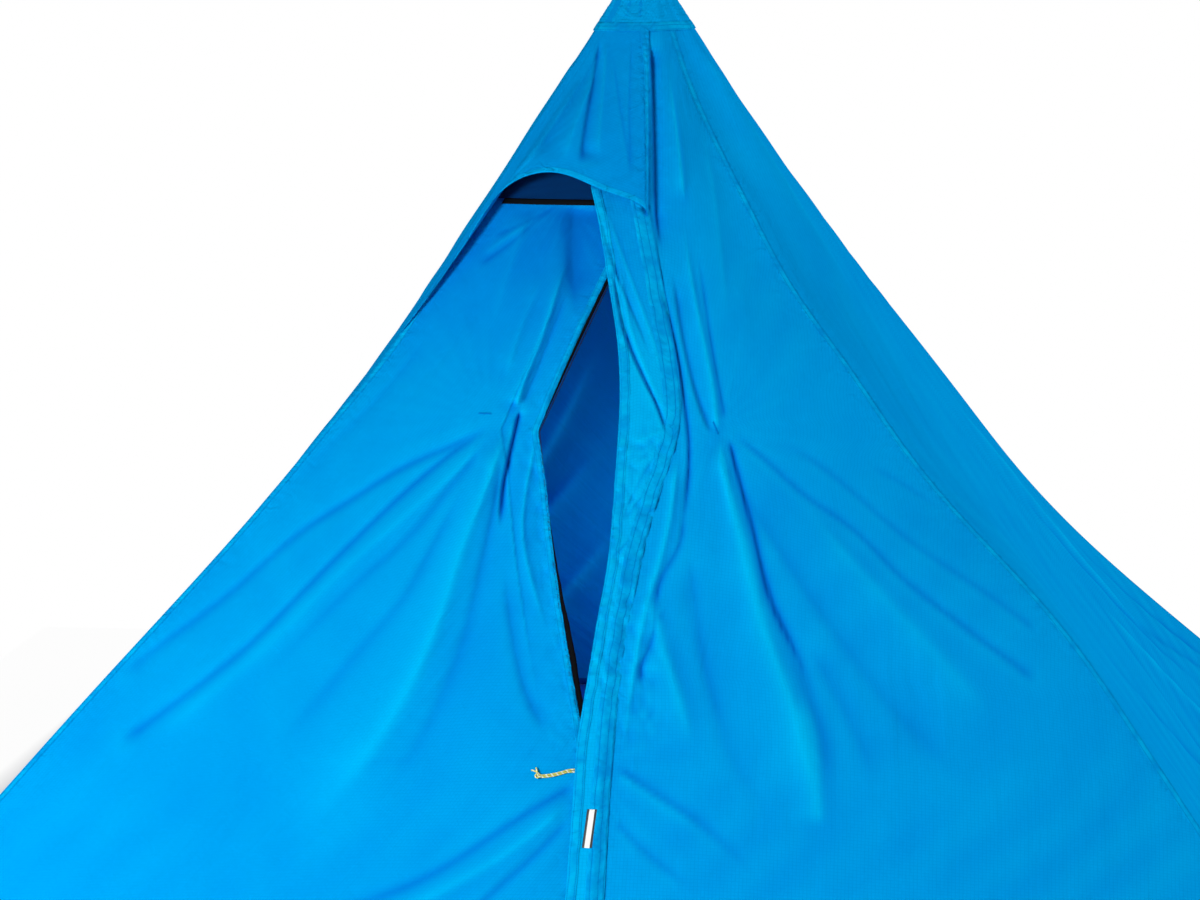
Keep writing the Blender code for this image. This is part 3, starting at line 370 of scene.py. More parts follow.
FRONT_FOLDS = (
    (((-186, 760), (-251, 726), (-326, 692), (-398, 647), (-469, 601), (-536, 540), (-602, 484),
      (-669, 435), (-709, 404)), 7, 15, -5.5, 0.12, 0.05),
    (((-190, 755), (-249, 715), (-321, 654), (-389, 587), (-455, 517), (-520, 449), (-585, 395),
      (-653, 345), (-695, 315)), 6, 14, -5.8, 0.1, 0.05),
    (((-184, 743), (-246, 687), (-317, 623), (-386, 563), (-452, 494), (-517, 429), (-582, 375),
      (-650, 315)), 12, 34, 5, 0.15, 0.15),
    (((-189, 743), (-216, 705), (-244, 670), (-271, 634), (-312, 588), (-367, 539), (-447, 457),
      (-524, 376)), 8, 24, -4.2, 0.1, 0.35),
    (((-169, 749), (-177, 703), (-189, 667), (-201, 632), (-215, 591), (-226, 549), (-241, 495),
      (-267, 427), (-302, 360), (-354, 288), (-406, 233), (-467, 183)), 14, 95, 15, 0.08, 0.3),
    (((-214, 684), (-240, 632), (-265, 580), (-297, 518), (-350, 452), (-408, 378),
      (-473, 299)), 14, 34, -5.5, 0.2, 0.3),
    (((-146, 781), (-153, 738), (-158, 703), (-162, 668), (-162, 640),
      (-160, 613)), 5, 6, -10.5, 0.08, 0.22),
    (((-117, 760), (-117, 725), (-122, 690), (-125, 655), (-125, 620), (-114, 572), (-93, 518),
      (-72, 465)), 6, 12, 5.5, 0.15, 0.3),
    (((-91, 997), (-98, 970), (-110, 919), (-128, 860), (-141, 824), (-150, 784)), 12, 9, 11, 0.3, 0.06),
    (((-79, 971), (-94, 926), (-113, 868), (-128, 824), (-142, 788)), 9, 6, -3, 0.3, 0.05),
    (((-47, 934), (-53, 915), (-73, 868), (-97, 811), (-108, 775)), 6, 5.5, 5.5, 0.2, 0.1),
    (((-124, 985), (-156, 896), (-173, 823)), 20, 14, 4, 0.3, 0.2),
    (((-148, 572), (-139, 517), (-121, 450), (-95, 385), (-54, 333)), 24, 18, -5.5, 0.3, 0.2),
    (((-12, 276), (-107, 222), (-205, 162), (-262, 136), (-425, 93)), 8, 16, -5, 0.05, 0.4),
    (((-22, 252), (-104, 190), (-216, 130), (-367, 50)), 10, 24, 5, 0.1, 0.4),
    (((-18, 234), (-59, 191), (-127, 133), (-227, 39)), 7, 12, -4, 0.1, 0.4),
    (((-84, 1089), (-86, 1035), (-78, 966), (-63, 907)), 50, 34, -11, 0.15, 0.4),
    (((-156, 1073), (-183, 984), (-209, 885)), 24, 34, 5, 0.2, 0.4),
    (((-327, 933), (-374, 866), (-415, 815), (-480, 734)), 12, 18, 4.5, 0.2, 0.3),
    (((-298, 902), (-368, 802), (-445, 721), (-552, 621)), 16, 22, -4, 0.25, 0.25),
    (((-211, 1032), (-142, 1063), (-104, 1086)), 6, 5, -2.2, 0.2, 0.3),
    (((-228, 1002), (-172, 1043), (-123, 1074)), 7, 5, 2.4, 0.2, 0.3),
    (((-233, 987), (-182, 1023), (-142, 1059)), 6, 5, -2.2, 0.2, 0.3),
    (((18, 1337), (26, 1274), (35, 1197), (42, 1121), (50, 1053), (66, 998)), 13, 12, -12, 0.12, 0.2),
    (((56, 1289), (73, 1212), (86, 1135), (94, 1083)), 12, 12, 10, 0.3, 0.2),
    (((133, 1224), (157, 1117), (169, 999), (181, 897)), 14, 24, 3.5, 0.3, 0.3),
    (((51, 998), (68, 942), (84, 899), (98, 852), (110, 798), (121, 742), (124, 686), (122, 637),
      (118, 596)), 5, 6.5, -8, 0.15, 0.25),
    (((79, 989), (97, 913), (117, 841), (136, 791), (158, 747)), 10, 6, -6, 0.25, 0.1),
    (((89, 1068), (101, 1016), (122, 935), (141, 870), (157, 809), (168, 756)), 11, 9, 7.5, 0.35, 0.05),
    (((116, 1030), (134, 942), (150, 869), (165, 809), (175, 770)), 6.5, 4.5, -4, 0.35, 0.05),
    (((169, 746), (188, 680), (211, 617), (231, 554), (251, 496), (277, 437), (305, 376), (324, 327),
      (336, 276), (345, 221)), 9, 62, 13, 0.08, 0.22),
    (((181, 746), (198, 697), (215, 649), (229, 609), (246, 554), (266, 507), (292, 464), (318, 418),
      (338, 373)), 5.5, 10, -8.5, 0.06, 0.4),
    (((277, 477), (317, 405), (345, 347), (359, 277)), 14, 18, -2.8, 0.3, 0.3),
    (((127, 576), (143, 498), (171, 421), (201, 344), (242, 287), (295, 235)), 28, 60, -3.2, 0.15, 0.25),
    (((81, 534), (101, 468), (134, 389), (157, 318)), 22, 34, 9.5, 0.12, 0.35),
    (((184, 754), (242, 713), (316, 656), (375, 618), (435, 557), (485, 517), (542, 476), (584, 448),
      (619, 423)), 6, 9, -3.6, 0.1, 0.05),
    (((259, 741), (317, 712), (412, 640), (456, 602), (530, 550), (580, 515),
      (616, 489)), 8, 9, -2.6, 0.2, 0.05),
    (((410, 702), (471, 670), (517, 640)), 8, 8, -1.8, 0.25, 0.25),
    (((195, 721), (227, 649), (270, 590), (308, 539), (377, 453), (428, 396), (499, 333),
      (572, 272)), 20, 58, -4.5, 0.2, 0.25),
    (((299, 658), (369, 578), (478, 463), (579, 363)), 24, 50, 6, 0.25, 0.25),
    (((39, 302), (97, 271), (175, 228), (267, 161)), 6, 12, -2.8, 0.1, 0.4),
    (((46, 292), (110, 258), (199, 213)), 8, 12, 2.6, 0.1, 0.4),
    (((45, 231), (105, 185), (180, 141)), 6, 10, -2.6, 0.1, 0.4),
    (((106, 721), (104, 658), (97, 603), (87, 562), (74, 507), (66, 454), (59, 387),
      (55, 322)), 11.5, 12.5, 8, 0.1, 0.25),
    (((122, 637), (115, 589), (96, 556), (88, 521), (86, 467), (72, 430),
      (86, 388)), 5.5, 5.5, -4.2, 0.1, 0.15),
    (((132, 587), (146, 522), (162, 455), (188, 383), (225, 312)), 12, 20, -2.2, 0.15, 0.3),
    (((-167, 717), (-171, 661), (-178, 605), (-187, 544), (-196, 482), (-216, 409), (-247, 335),
      (-288, 270), (-330, 217)), 10, 50, -6.2, 0.12, 0.3),
    (((-223, 550), (-237, 502), (-258, 441), (-288, 374), (-327, 314), (-372, 255)), 20, 40, 3, 0.25, 0.25),
    (((312, 471), (358, 406), (398, 342), (431, 279)), 30, 50, -4.5, 0.25, 0.3),
    (((310, 405), (331, 353), (344, 289), (350, 226)), 16, 22, 4.5, 0.25, 0.15),
)
FRONT_PULLS = (
    ((-0.195, 0.770), 0.060, 26, 0.0005, 0.4),
    ((0.163, 0.760), 0.050, 24, 0.0005, 1.1),
    ((-0.100, 1.088), 0.050, 22, 0.0005, 0.2),
    ((0.010, 0.300), 0.045, 22, 0.0005, 2.0),
)
SIDE_FOLDS = (
    (((10, 1360), (40, 1150), (110, 800)), 14, 30, -6, 0.2, 0.6),
    (((-30, 1360), (-80, 1100), (-160, 780)), 14, 34, 7, 0.2, 0.6),
    (((950, 60), (700, 260), (420, 560)), 20, 40, -9, 0.25, 0.55),
    (((900, 45), (620, 190), (300, 330)), 18, 36, -6, 0.25, 0.55),
    (((-950, 60), (-690, 270), (-400, 590)), 20, 40, -9, 0.25, 0.55),
    (((-880, 45), (-600, 180), (-320, 290)), 18, 36, 6, 0.25, 0.55),
    (((0, 20), (80, 200), (200, 480)), 16, 34, -6, 0.1, 0.6),
    (((0, 20), (-120, 180), (-260, 420)), 16, 34, -6, 0.1, 0.6),
    (((520, 220), (300, 480), (130, 780)), 30, 26, 11, 0.3, 0.3),
    (((600, 120), (360, 330), (160, 560)), 34, 28, -11, 0.3, 0.3),
    (((420, 60), (280, 200), (140, 380)), 26, 26, 9, 0.3, 0.3),
)


def crinkle(x, z):
    """Small irregular unevenness of worn cloth: a few crossed sines with unrelated wavelengths."""
    wave = np.sin(31.0 * x + 4.0 * np.sin(9.0 * z + 1.3)) * np.sin(23.0 * z + 3.0 * np.sin(13.0 * x))
    return wave + 0.6 * np.sin(57.0 * x - 41.0 * z + 2.0 * np.sin(17.0 * z))


def crumpled(x, z):
    """Sharp little creases of crushed cloth: sines folded up at zero, in four directions, each bent by
    slower waves. A sine's pitch is also its share in the height."""
    total = 0.0
    for turn, pitch, start in ((0.5, 0.030, 0.2), (2.0, 0.022, 1.1), (1.2, 0.041, 2.3), (2.75, 0.034, 0.7)):
        along = x * math.cos(turn) + z * math.sin(turn)
        bent = along + 0.007 * np.sin(85 * z + start) + 0.005 * np.sin(130 * x + 40 * z + 2 * start)
        total = total + pitch * (np.abs(np.sin(math.pi * bent / pitch + start)) - 0.64)
    return total


def front_relief(x, z):
    """Folds on the front, held at the ridges, at the hem and at the peak, with pleats where it is held
    and small creases beside the flap."""
    hold = smooth(ridge(z) - np.abs(x), 0.0, 0.05) * smooth(z, 0.0, 0.06) * (1 - smooth(z, 1.32, 1.38))
    pleats = sum(fan(x, z, *place) for place in FRONT_PULLS)
    crushed = smooth(x, 0.035, 0.055) * (1 - smooth(x, 0.085, 0.125)) * smooth(z, 0.30, 0.36) * (
        1 - smooth(z, 0.50, 0.60))
    return hold * (1.15 * folds(x, z, FRONT_FOLDS) + pleats + 0.0006 * crinkle(x, z)
                   + 0.040 * crushed * crumpled(x, z))


def side_relief(face, x, z):
    """Folds of the other faces, mirrored and turned about so that no two faces are alike."""
    mirrored = -x if face == "left" else x
    hold = smooth(ridge(z) - np.abs(x), 0.0, 0.06) * smooth(z, 0.0, 0.05) * (1 - smooth(z, 1.28, 1.36))
    drift = {"right": 0.0, "back": 0.35, "left": 0.7}[face]
    strength = {"right": 0.7, "back": 1.0, "left": 0.9}[face]
    return hold * (strength * folds(mirrored, z, SIDE_FOLDS) + 0.0007 * crinkle(x + drift, z))


def relief(face, a, z):
    """Folds of any face."""
    return front_relief(a, z) if face == "front" else side_relief(face, a, z)


def grid_piece(name, points, cloth_uv=None, wall=CLOTH, **channels):
    """Sheet through a grid of points, shaped (rows, columns, 3). cloth_uv gives metres on the cloth, as
    measured on the grid if it isn't given, and each channel one number for each point. A Solidify gives
    the wall, inwards."""
    if cloth_uv is None:
        cloth_uv = cloth_lengths(points)
    high, wide = points.shape[:2]
    index = np.arange(high * wide).reshape(high, wide)
    quads = np.stack([index[:-1, :-1], index[:-1, 1:], index[1:, 1:], index[1:, :-1]], axis=-1).reshape(-1)
    mesh = bpy.data.meshes.new(name)
    mesh.vertices.add(high * wide)
    mesh.vertices.foreach_set("co", points.astype(np.float32).reshape(-1))
    mesh.loops.add(len(quads))
    mesh.loops.foreach_set("vertex_index", quads.astype(np.int32))
    mesh.polygons.add(len(quads) // 4)
    mesh.polygons.foreach_set("loop_start", np.arange(0, len(quads), 4, dtype=np.int32))
    mesh.update(calc_edges=True)
    layer = mesh.uv_layers.new(name="Cloth")
    layer.data.foreach_set("uv", cloth_uv.astype(np.float32).reshape(-1, 2)[quads].reshape(-1))
    for key, values in channels.items():
        values = np.broadcast_to(values, (high, wide)).astype(np.float32).reshape(-1)
        mesh.attributes.new(key, "FLOAT", "POINT").data.foreach_set("value", values)
    mesh.shade_smooth()
    piece = bpy.data.objects.new(name, mesh)
    scene.collection.objects.link(piece)
    if wall:
        solid = piece.modifiers.new("wall", "SOLIDIFY")
        solid.thickness = wall
        solid.offset = -1.0
    return piece


def painted_relief_shade(lift, rounds=14):
    """Painted light and shade of the cloth, for its crest channel: lighter on what stands out, darker in what lies
    deep, most of all where it does so against its own neighbours, whose mean comes from a few rounds of averaging over
    the grid."""
    mean = lift
    for _ in range(rounds):
        framed = np.pad(mean, 1, mode="edge")
        mean = 0.2 * (mean + framed[:-2, 1:-1] + framed[2:, 1:-1] + framed[1:-1, :-2] + framed[1:-1, 2:])
    return 12 * lift + 100 * (lift - mean)


def cloth_lengths(points):
    """Metres of cloth along the rows and the columns of a grid, measured on its surface."""
    down = np.linalg.norm(np.diff(points, axis=0), axis=-1)
    over = np.linalg.norm(np.diff(points, axis=1), axis=-1)
    v = np.concatenate([np.zeros((1, points.shape[1])), np.cumsum(down, axis=0)])
    u = np.concatenate([np.zeros((points.shape[0], 1)), np.cumsum(over, axis=1)], axis=1)
    return np.stack([u, v], axis=-1)


def denser(count, power_low, power_high):
    """Shares from 0 to 1 that crowd towards either end, as a blend of powers."""
    s = np.linspace(0.0, 1.0, count)
    low = s ** power_low
    high = 1 - (1 - s) ** power_high
    return low * (1 - s) + high * s


# Cloth: woven nylon ripstop, coated, so satin and tight. The colour is a clear mid blue, painted greener on what
# stands out as painted light and deeper in the creases as painted shade. The 5 mm grid is drawn a little wide to show.

GRID_PITCH = 0.0055
GRID_SHOWS = 0.16


def linear(code):
    """sRGB hex to linear colour."""
    values = [int(code[k:k + 2], 16) / 255 for k in (1, 3, 5)]
    return tuple(v / 12.92 if v <= 0.04045 else ((v + 0.055) / 1.055) ** 2.4 for v in values) + (1.0,)


def feed(node, sockets):
    """Gives a node's inputs their values, or links them to an output or to another node's result, which
    a colour mix has at its third output and any other node at its first."""
    for key, value in sockets.items():
        if isinstance(value, bpy.types.Node):
            value = value.outputs[2 if value.bl_idname == "ShaderNodeMix" else 0]
        if isinstance(value, bpy.types.NodeSocket):
            node.id_data.links.new(value, node.inputs[key])
        else:
            node.inputs[key].default_value = value


def add(tree, kind, sockets=None, **settings):
    """Adds a node: settings are its properties, sockets what its inputs are fed with."""
    made = tree.nodes.new("ShaderNode" + kind)
    for key, value in settings.items():
        setattr(made, key, value)
    feed(made, sockets or {})
    return made


def new_material(name):
    material = bpy.data.materials.new(name)
    material.use_nodes = True
    return material, material.node_tree, material.node_tree.nodes["Principled BSDF"]


def surface(shader, colour, rough, gleam, *reliefs):
    """Colour, roughness and shine of a surface, and its reliefs, each a height, a strength and a
    distance, as bumps one on another."""
    normal = {}
    for height, strength, distance in reliefs:
        bump = {"Height": height, "Strength": strength, "Distance": distance}
        normal = {"Normal": add(shader.id_data, "Bump", {**bump, **normal})}
    feed(shader, {"Base Color": colour, "Roughness": rough, "Specular IOR Level": gleam, **normal})


def on_cloth(tree):
    """Place on the cloth in metres, as a vector and as its parts across and along."""
    place = add(tree, "UVMap", uv_map="Cloth")
    return place, add(tree, "SeparateXYZ", {0: place})


def lines(tree, value, pitch, share):
    """1 on lines that repeat every pitch and fill that share of it."""
    scaled = add(tree, "Math", {0: value, 1: 1 / pitch}, operation="MULTIPLY")
    cycle = add(tree, "Math", {0: scaled, 1: 0.5}, operation="PINGPONG")
    return add(tree, "MapRange", {"Value": cycle, "From Min": 0.5 * share, "From Max": 0.3 * share})


def crossed(tree, parts, pitch, share):
    """1 on lines that cross both ways."""
    return add(tree, "Math", {0: lines(tree, parts.outputs[0], pitch, share),
                              1: lines(tree, parts.outputs[1], pitch, share)}, operation="MAXIMUM")


def ripstop(name, deep, lit):
    """The tone follows slow random patches and the crest channel, which holds painted light and shade, down to a deep
    blue of painted shade in the hollows. The relief is the weave, streaks drawn down the cloth, creases that the
    channel pucker brings out, and the grid."""
    material, tree, shader = new_material(name)
    place, parts = on_cloth(tree)
    squares = crossed(tree, parts, GRID_PITCH, 0.20)
    body = add(tree, "TexCoord").outputs["Object"]
    patches = add(tree, "TexNoise", {"Vector": body, "Scale": 5.0, "Detail": 3.0})
    # painted light and shade: the crest channel mixes the lit colour onto crests and the deep colour into creases
    crest = add(tree, "Attribute", attribute_name="crest").outputs["Fac"]
    level = add(tree, "Math", {0: patches, 1: 0.3, 2: crest}, operation="MULTIPLY_ADD")
    tone = add(tree, "MapRange", {"Value": level, "From Min": -0.35, "From Max": 0.65})
    lighter = add(tree, "Mix", {0: tone, 6: linear(deep), 7: linear(lit)}, data_type="RGBA")
    # painted shade: where the crest channel is lowest the colour goes down to a deep blue, as in the shade of a crease
    painted_crease_shade = add(tree, "MapRange", {"Value": level, "From Min": -0.9, "From Max": -0.2})
    colour = add(tree, "Mix", {0: painted_crease_shade, 6: linear("#0058B0"), 7: lighter}, data_type="RGBA")
    shown = add(tree, "Math", {0: squares, 1: GRID_SHOWS}, operation="MULTIPLY")
    ruled = add(tree, "Mix", {0: shown, 6: colour, 7: linear("#004FA8")}, data_type="RGBA")
    weave = add(tree, "TexNoise", {"Vector": body, "Scale": 60.0, "Detail": 4.0, "Roughness": 0.6})
    drawn = add(tree, "Mapping", {"Vector": place, "Scale": (24.0, 2.2, 1.0)})
    streaks = add(tree, "TexNoise", {"Vector": drawn, "Scale": 1.0, "Detail": 3.0, "Distortion": 0.5})
    worn = add(tree, "TexNoise", {"Vector": body, "Scale": 34.0, "Detail": 3.0, "Roughness": 0.5,
                                  "Distortion": 1.2})
    crushed = add(tree, "MapRange", {"Value": worn, "From Min": 0.35, "From Max": 0.62})
    pucker = add(tree, "Attribute", attribute_name="pucker").outputs["Fac"]
    share = add(tree, "MapRange", {"Value": pucker, "To Min": 0.06, "To Max": 1.0})
    gathered = add(tree, "Math", {0: crushed, 1: share}, operation="MULTIPLY")
    surface(shader, ruled, 0.55, 0.0, (weave, 0.10, 0.004), (streaks, 0.5, 0.008), (gathered, 0.8, 0.004),
            (squares, 0.25, 0.0004))
    return material


nylon = ripstop("coated ripstop nylon", "#0072CE", "#00B1EB")


def dress(piece, material, slot, *nodes, body="canopy"):
    """Gives a piece its material, its slot, the nodes that it stands for and the body that it rides on."""
    piece.data.materials.clear()
    piece.data.materials.append(material)
    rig.ride(piece, body)
    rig.slot(piece, slot)
    if nodes:
        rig.replaces(piece, *nodes)
    return piece


def hung(piece, points, held="stretched", flat=None, trim=()):
    lengths = cloth_lengths(points)
    width, length = flat or (float(lengths[:, -1, 0].max()), float(lengths[-1, :, 1].max()))
    cloth = sum(face.area for face in piece.data.polygons)
    area = min(max(cloth, 0.3 * width * length), width * length)
    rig.sheet(piece, flat=(width, length), held=held, area=area, with_pieces=list(trim))


# Felled seams and hems: strips of the same cloth, folded under and sewn with two rows of thread, along
# the ridges and the bottom edge, and in the sections below along each panel's other edges.

STITCH = 0.0034
HEM = 0.014
PUCKERED = 0.018


def stitched(name, deep, lit, thread, rows_at):
    """Cloth with rows of stitches: v runs along the strip in metres, u across it. Each stitch is a short
    dash in its row, and the cloth is drawn in between the stitches, which shows as small puckers."""
    material, tree, shader = new_material(name)
    place, parts = on_cloth(tree)
    body = add(tree, "TexCoord").outputs["Object"]
    patches = add(tree, "TexNoise", {"Vector": body, "Scale": 40.0, "Detail": 3.0})
    tone = add(tree, "MapRange", {"Value": patches, "From Min": 0.3, "From Max": 0.7})
    colour = add(tree, "Mix", {0: tone, 6: linear(deep), 7: linear(lit)}, data_type="RGBA")
    sewn = 0.0
    for row_at in rows_at:
        off = add(tree, "Math", {0: parts, 1: row_at}, operation="SUBTRACT")
        far = add(tree, "Math", {0: off}, operation="ABSOLUTE")
        near = add(tree, "MapRange", {"Value": far, "From Min": 0.0011, "From Max": 0.0004})
        sewn = add(tree, "Math", {0: sewn, 1: near}, operation="MAXIMUM")
    dash = lines(tree, parts.outputs[1], STITCH, 1.1)
    stitch = add(tree, "Math", {0: sewn, 1: dash}, operation="MULTIPLY")
    threaded = add(tree, "Mix", {0: stitch, 6: colour, 7: linear(thread)}, data_type="RGBA")
    squeezed = add(tree, "Mapping", {"Vector": place, "Scale": (38.0, 130.0, 1.0)})
    gather = add(tree, "TexNoise", {"Vector": squeezed, "Scale": 1.0, "Detail": 2.5, "Distortion": 0.6})
    height = add(tree, "Math", {0: sewn, 1: -0.12, 2: gather}, operation="MULTIPLY_ADD")
    surface(shader, threaded, 0.6, 0.0, (height, 0.8, 0.0036))
    return material


def strip_piece(name, points, material, lying=False):
    """Sewn strip with u across and v along it in metres, through a grid whose columns run along it, or
    whose rows do if it is lying."""
    lengths = cloth_lengths(points)
    piece = grid_piece(name, points, lengths[..., ::-1] if lying else lengths, wall=0.0006, crest=0.5)
    return dress(piece, material, "ripstop")


def domed(count, rise):
    """Height across a strip: level on top, down to the cloth at both edges."""
    t = np.linspace(-1.0, 1.0, count)
    return rise * (1 - t ** 4)


felled = stitched("felled seam, nylon thread", "#0089D2", "#00A8E2", "#0086CC", (0.0022, 0.0098))


def ridge_seam(name, face, side):
    """Felled seam along a ridge, laid on the front or the back panel 0.4 mm over the cloth."""
    z = column(0.012, 1.360, 480)
    a = side * (ridge(z) - row(0.0100, 0.0002, 8))
    rise = 0.0004 + domed(8, 0.0006) + 0.00035 * ripple(z, 700, 3, 90)
    points = on_face(face, a, z, relief(face, a, z) + rise)
    return strip_piece("ridge_seam_" + name, points[:, ::side], felled)


def bottom_hem(name, face, low_end, high_end):
    """Hem along the bottom edge between two shares of the half width, gathered a little."""
    z = column(0.0, HEM, 7)
    a = row(low_end, high_end, int(420 * (high_end - low_end))) * (ridge(z) - 0.0006)
    rise = 0.0003 + domed(7, 0.0010)[:, None] + 0.0004 * ripple(a, 600, 3, 77)
    return strip_piece("hem_" + name, on_face(face, a, z, rise), felled, lying=True)


# Back, left and right panels: one trapezoid each, cut with hollow edges, felled together along the
# ridges and hemmed. Each is one curved sheet with soft pulls from the peak, the corners and the loops.

for face in ("right", "back", "left"):
    z = column(0.0, PANEL_TOP, 230)
    a = row(-1.0, 1.0, 190) * (ridge(z) - PANEL_EDGE)
    lift = side_relief(face, a, z)
    points = on_face(face, a, z, lift)
    pucker = np.exp(-np.minimum(ridge(z) - np.abs(a), z) / PUCKERED)
    panel = grid_piece(face + "_panel_cloth", points, pucker=pucker, crest=painted_relief_shade(lift))
    dress(panel, nylon, "ripstop", face + "_panel")
    trim = [bottom_hem(face, face, -1.0, 1.0)]
    if face == "back":
        trim += [ridge_seam("back_right", face, -1), ridge_seam("back_left", face, 1)]
    hung(panel, points, trim=trim)


# Right front panel: from the zip to the right ridge and up to the peak. It carries the deepest folds:
# one from the peak past the tie tab down to the hem, with smaller ones fanning out to the right.

ZIP_X = 0.016
ZIP_SLOT = 0.006
ZIP_TOP = 1.075
DOOR_TOP = 1.09


def seam_x(z):
    """The panel's inner edge: beside the zip, then along the centre seam up to the peak."""
    share = np.clip((z - ZIP_TOP) / (PANEL_TOP - ZIP_TOP), 0.0, 1.0)
    return ZIP_X + ZIP_SLOT + (-0.004 - ZIP_X - ZIP_SLOT) * share


def beside_zip(x, z):
    """0 on the zip or the centre seam and 1 away from it: over 24 mm beside the zip, 10 mm above it."""
    low = smooth(x - ZIP_X, 0.006, 0.030)
    high = smooth(x - seam_x(z), 0.006, 0.016)
    return low + (high - low) * smooth(z, 1.06, 1.12)


z = column(0.0, PANEL_TOP, 270)
x = seam_x(z) + (ridge(z) - PANEL_EDGE - seam_x(z)) * denser(165, 1.6, 1.0)
lift = front_relief(x, z) * beside_zip(x, z)
points = on_face("front", x, z, lift)
pucker = np.maximum(np.exp(-np.minimum(ridge(z) - x, z) / PUCKERED), np.exp(-(x - seam_x(z)) / 0.02))
panel = grid_piece("front_right_cloth", points, pucker=pucker, crest=painted_relief_shade(lift))
dress(panel, nylon, "ripstop", "front_right_panel")
hung(panel, points, trim=[bottom_hem("front_right", "front", 0.040, 1.0),
                          ridge_seam("front_right", "front", 1)])


# Left door half: from the left ridge to the zip, drawn away from it in a tall diamond where the zip is
# undone, and turned in a little along that edge.

GAP = 0.125
GAP_FOOT = 0.302
GAP_WIDEST = 0.752
GAP_TOP = 1.045
BARE_TAPE = ((0, 6), (300, 6), (335, 2.5), (373, -1.4), (410, -2.6), (450, -2.6), (500, -1.8), (600, -0.8),
             (700, 0), (752, 3.5), (800, 6.5), (920, 9.5), (1000, 9), (1090, 6))


def opening(z):
    """How far the unzipped edge is drawn to the left: straight above, curved below the widest place."""
    above = GAP * np.clip((GAP_TOP - z) / (GAP_TOP - GAP_WIDEST), 0.0, 1.0)
    below = GAP * np.clip((z - GAP_FOOT) / (GAP_WIDEST - GAP_FOOT), 0.0, 1.0) ** 0.70
    return np.where(z >= GAP_WIDEST, above, below)


def door_edge(z):
    """Free edge of the door: it lays bare the tape near both ends of the gap and hides it between."""
    return ZIP_X - profile(z, BARE_TAPE) - opening(z)


def door_lift(x, z):
    """Folds of the door, with its free edge rolled out by a few millimetres where it gapes."""
    gape = opening(z)
    to_edge = door_edge(z) - x
    roll = 0.006 * smooth(gape, 0.02, 0.10) * (np.exp(-(to_edge / 0.016) ** 2) - 0.55)
    calm = smooth(to_edge + gape, 0.004, 0.03)
    slack = smooth(z, 0.26, 0.36) * (1 - smooth(z, 0.70, 0.78)) * np.exp(-np.clip(to_edge, 0.0, 1.0) / 0.022)
    return front_relief(x, z) * calm + roll * calm * (to_edge < 0.06) + 0.055 * slack * crumpled(x + 0.3, z)


def follow(side, x, z):
    """Folds under what is sewn to the front beside the zip: the door's on the left, side -1, no further
    than its free edge, and the right panel's on the right, side 1, held at the zip."""
    if side < 0:
        return door_lift(np.minimum(x, door_edge(z)), z)
    return front_relief(x, z) * smooth(x - ZIP_X, 0.006, 0.030)


z = column(0.0, DOOR_TOP, 225)
x = -(ridge(z) - PANEL_EDGE) + (door_edge(z) + ridge(z) - PANEL_EDGE) * denser(200, 1.0, 1.5)
lift = door_lift(x, z)
points = on_face("front", x, z, lift)
pucker = np.maximum(np.exp(-np.minimum(ridge(z) + x, z) / PUCKERED), np.exp(-(door_edge(z) - x) / 0.016))
# painted shadow: the crest channel is lowered towards the door's top, where the hood shades it
panel = grid_piece("door_left_cloth", points, pucker=pucker,
                   crest=painted_relief_shade(lift) - 0.35 * smooth(z, 0.78, 1.04))
dress(panel, nylon, "ripstop", "door_panel_left")
z = column(0.0, DOOR_TOP - 0.006, 420)
x = door_edge(z) - row(0.0120, 0.0002, 8)
edge = on_face("front", x, z, door_lift(x, z) + 0.0003 + domed(8, 0.0006) + 0.0005 * ripple(z, 480, 3, 70))
hung(panel, points, trim=[bottom_hem("front_left", "front", -1.0, -0.012),
                          ridge_seam("front_left", "front", -1),
                          strip_piece("door_edge_hem", edge, felled)])


# Vent hood: the upper left of the front, from the peak to an arched free edge that stands off the door
# over the vent. Its right edge laps the right panel in the centre seam; a bent stay holds the brim out.

HOOD_EDGE = ((1.00, 0.885), (0.955, 1.018), (0.910, 1.106), (0.64, 1.135), (0.33, 1.121), (0.06, 1.096))
HOOD_STAND = 0.045
HOOD_LAP = 0.013
HOOD_END = 1.066
HOOD_FOLDS = (
    (((-61, 1343), (-65, 1275), (-71, 1212), (-74, 1144)), 9, 18, -11.5, 0.2, 0.1),
    (((-51, 1337), (-51, 1275), (-50, 1213), (-48, 1151)), 12, 22, 8.5, 0.2, 0.2),
    (((-43, 1321), (-24, 1244), (-5, 1174), (10, 1115)), 7, 8, -3, 0.25, 0.3),
    (((-50, 1336), (-71, 1262), (-91, 1194), (-102, 1144)), 10, 18, 6, 0.2, 0.2),
    (((-54, 1331), (-98, 1238), (-146, 1153)), 10, 18, -7.5, 0.2, 0.2),
    (((-86, 1272), (-136, 1183), (-191, 1089)), 10, 14, 5, 0.25, 0.2),
    (((-11, 1346), (-8, 1252), (6, 1125)), 6, 8, -3, 0.2, 0.2),
)


def hood_share(z):
    """Right edge of the hood as a share of the half width: its lap past the right panel's inner edge."""
    return -(seam_x(z) + HOOD_LAP) / ridge(z)


def hood_lift(x, z):
    hold = smooth(ridge(z) - np.abs(x), 0.0, 0.03) * (1 - smooth(z, 1.32, 1.38))
    return hold * (folds(x, z, HOOD_FOLDS) + 0.0005 * crinkle(x, z))


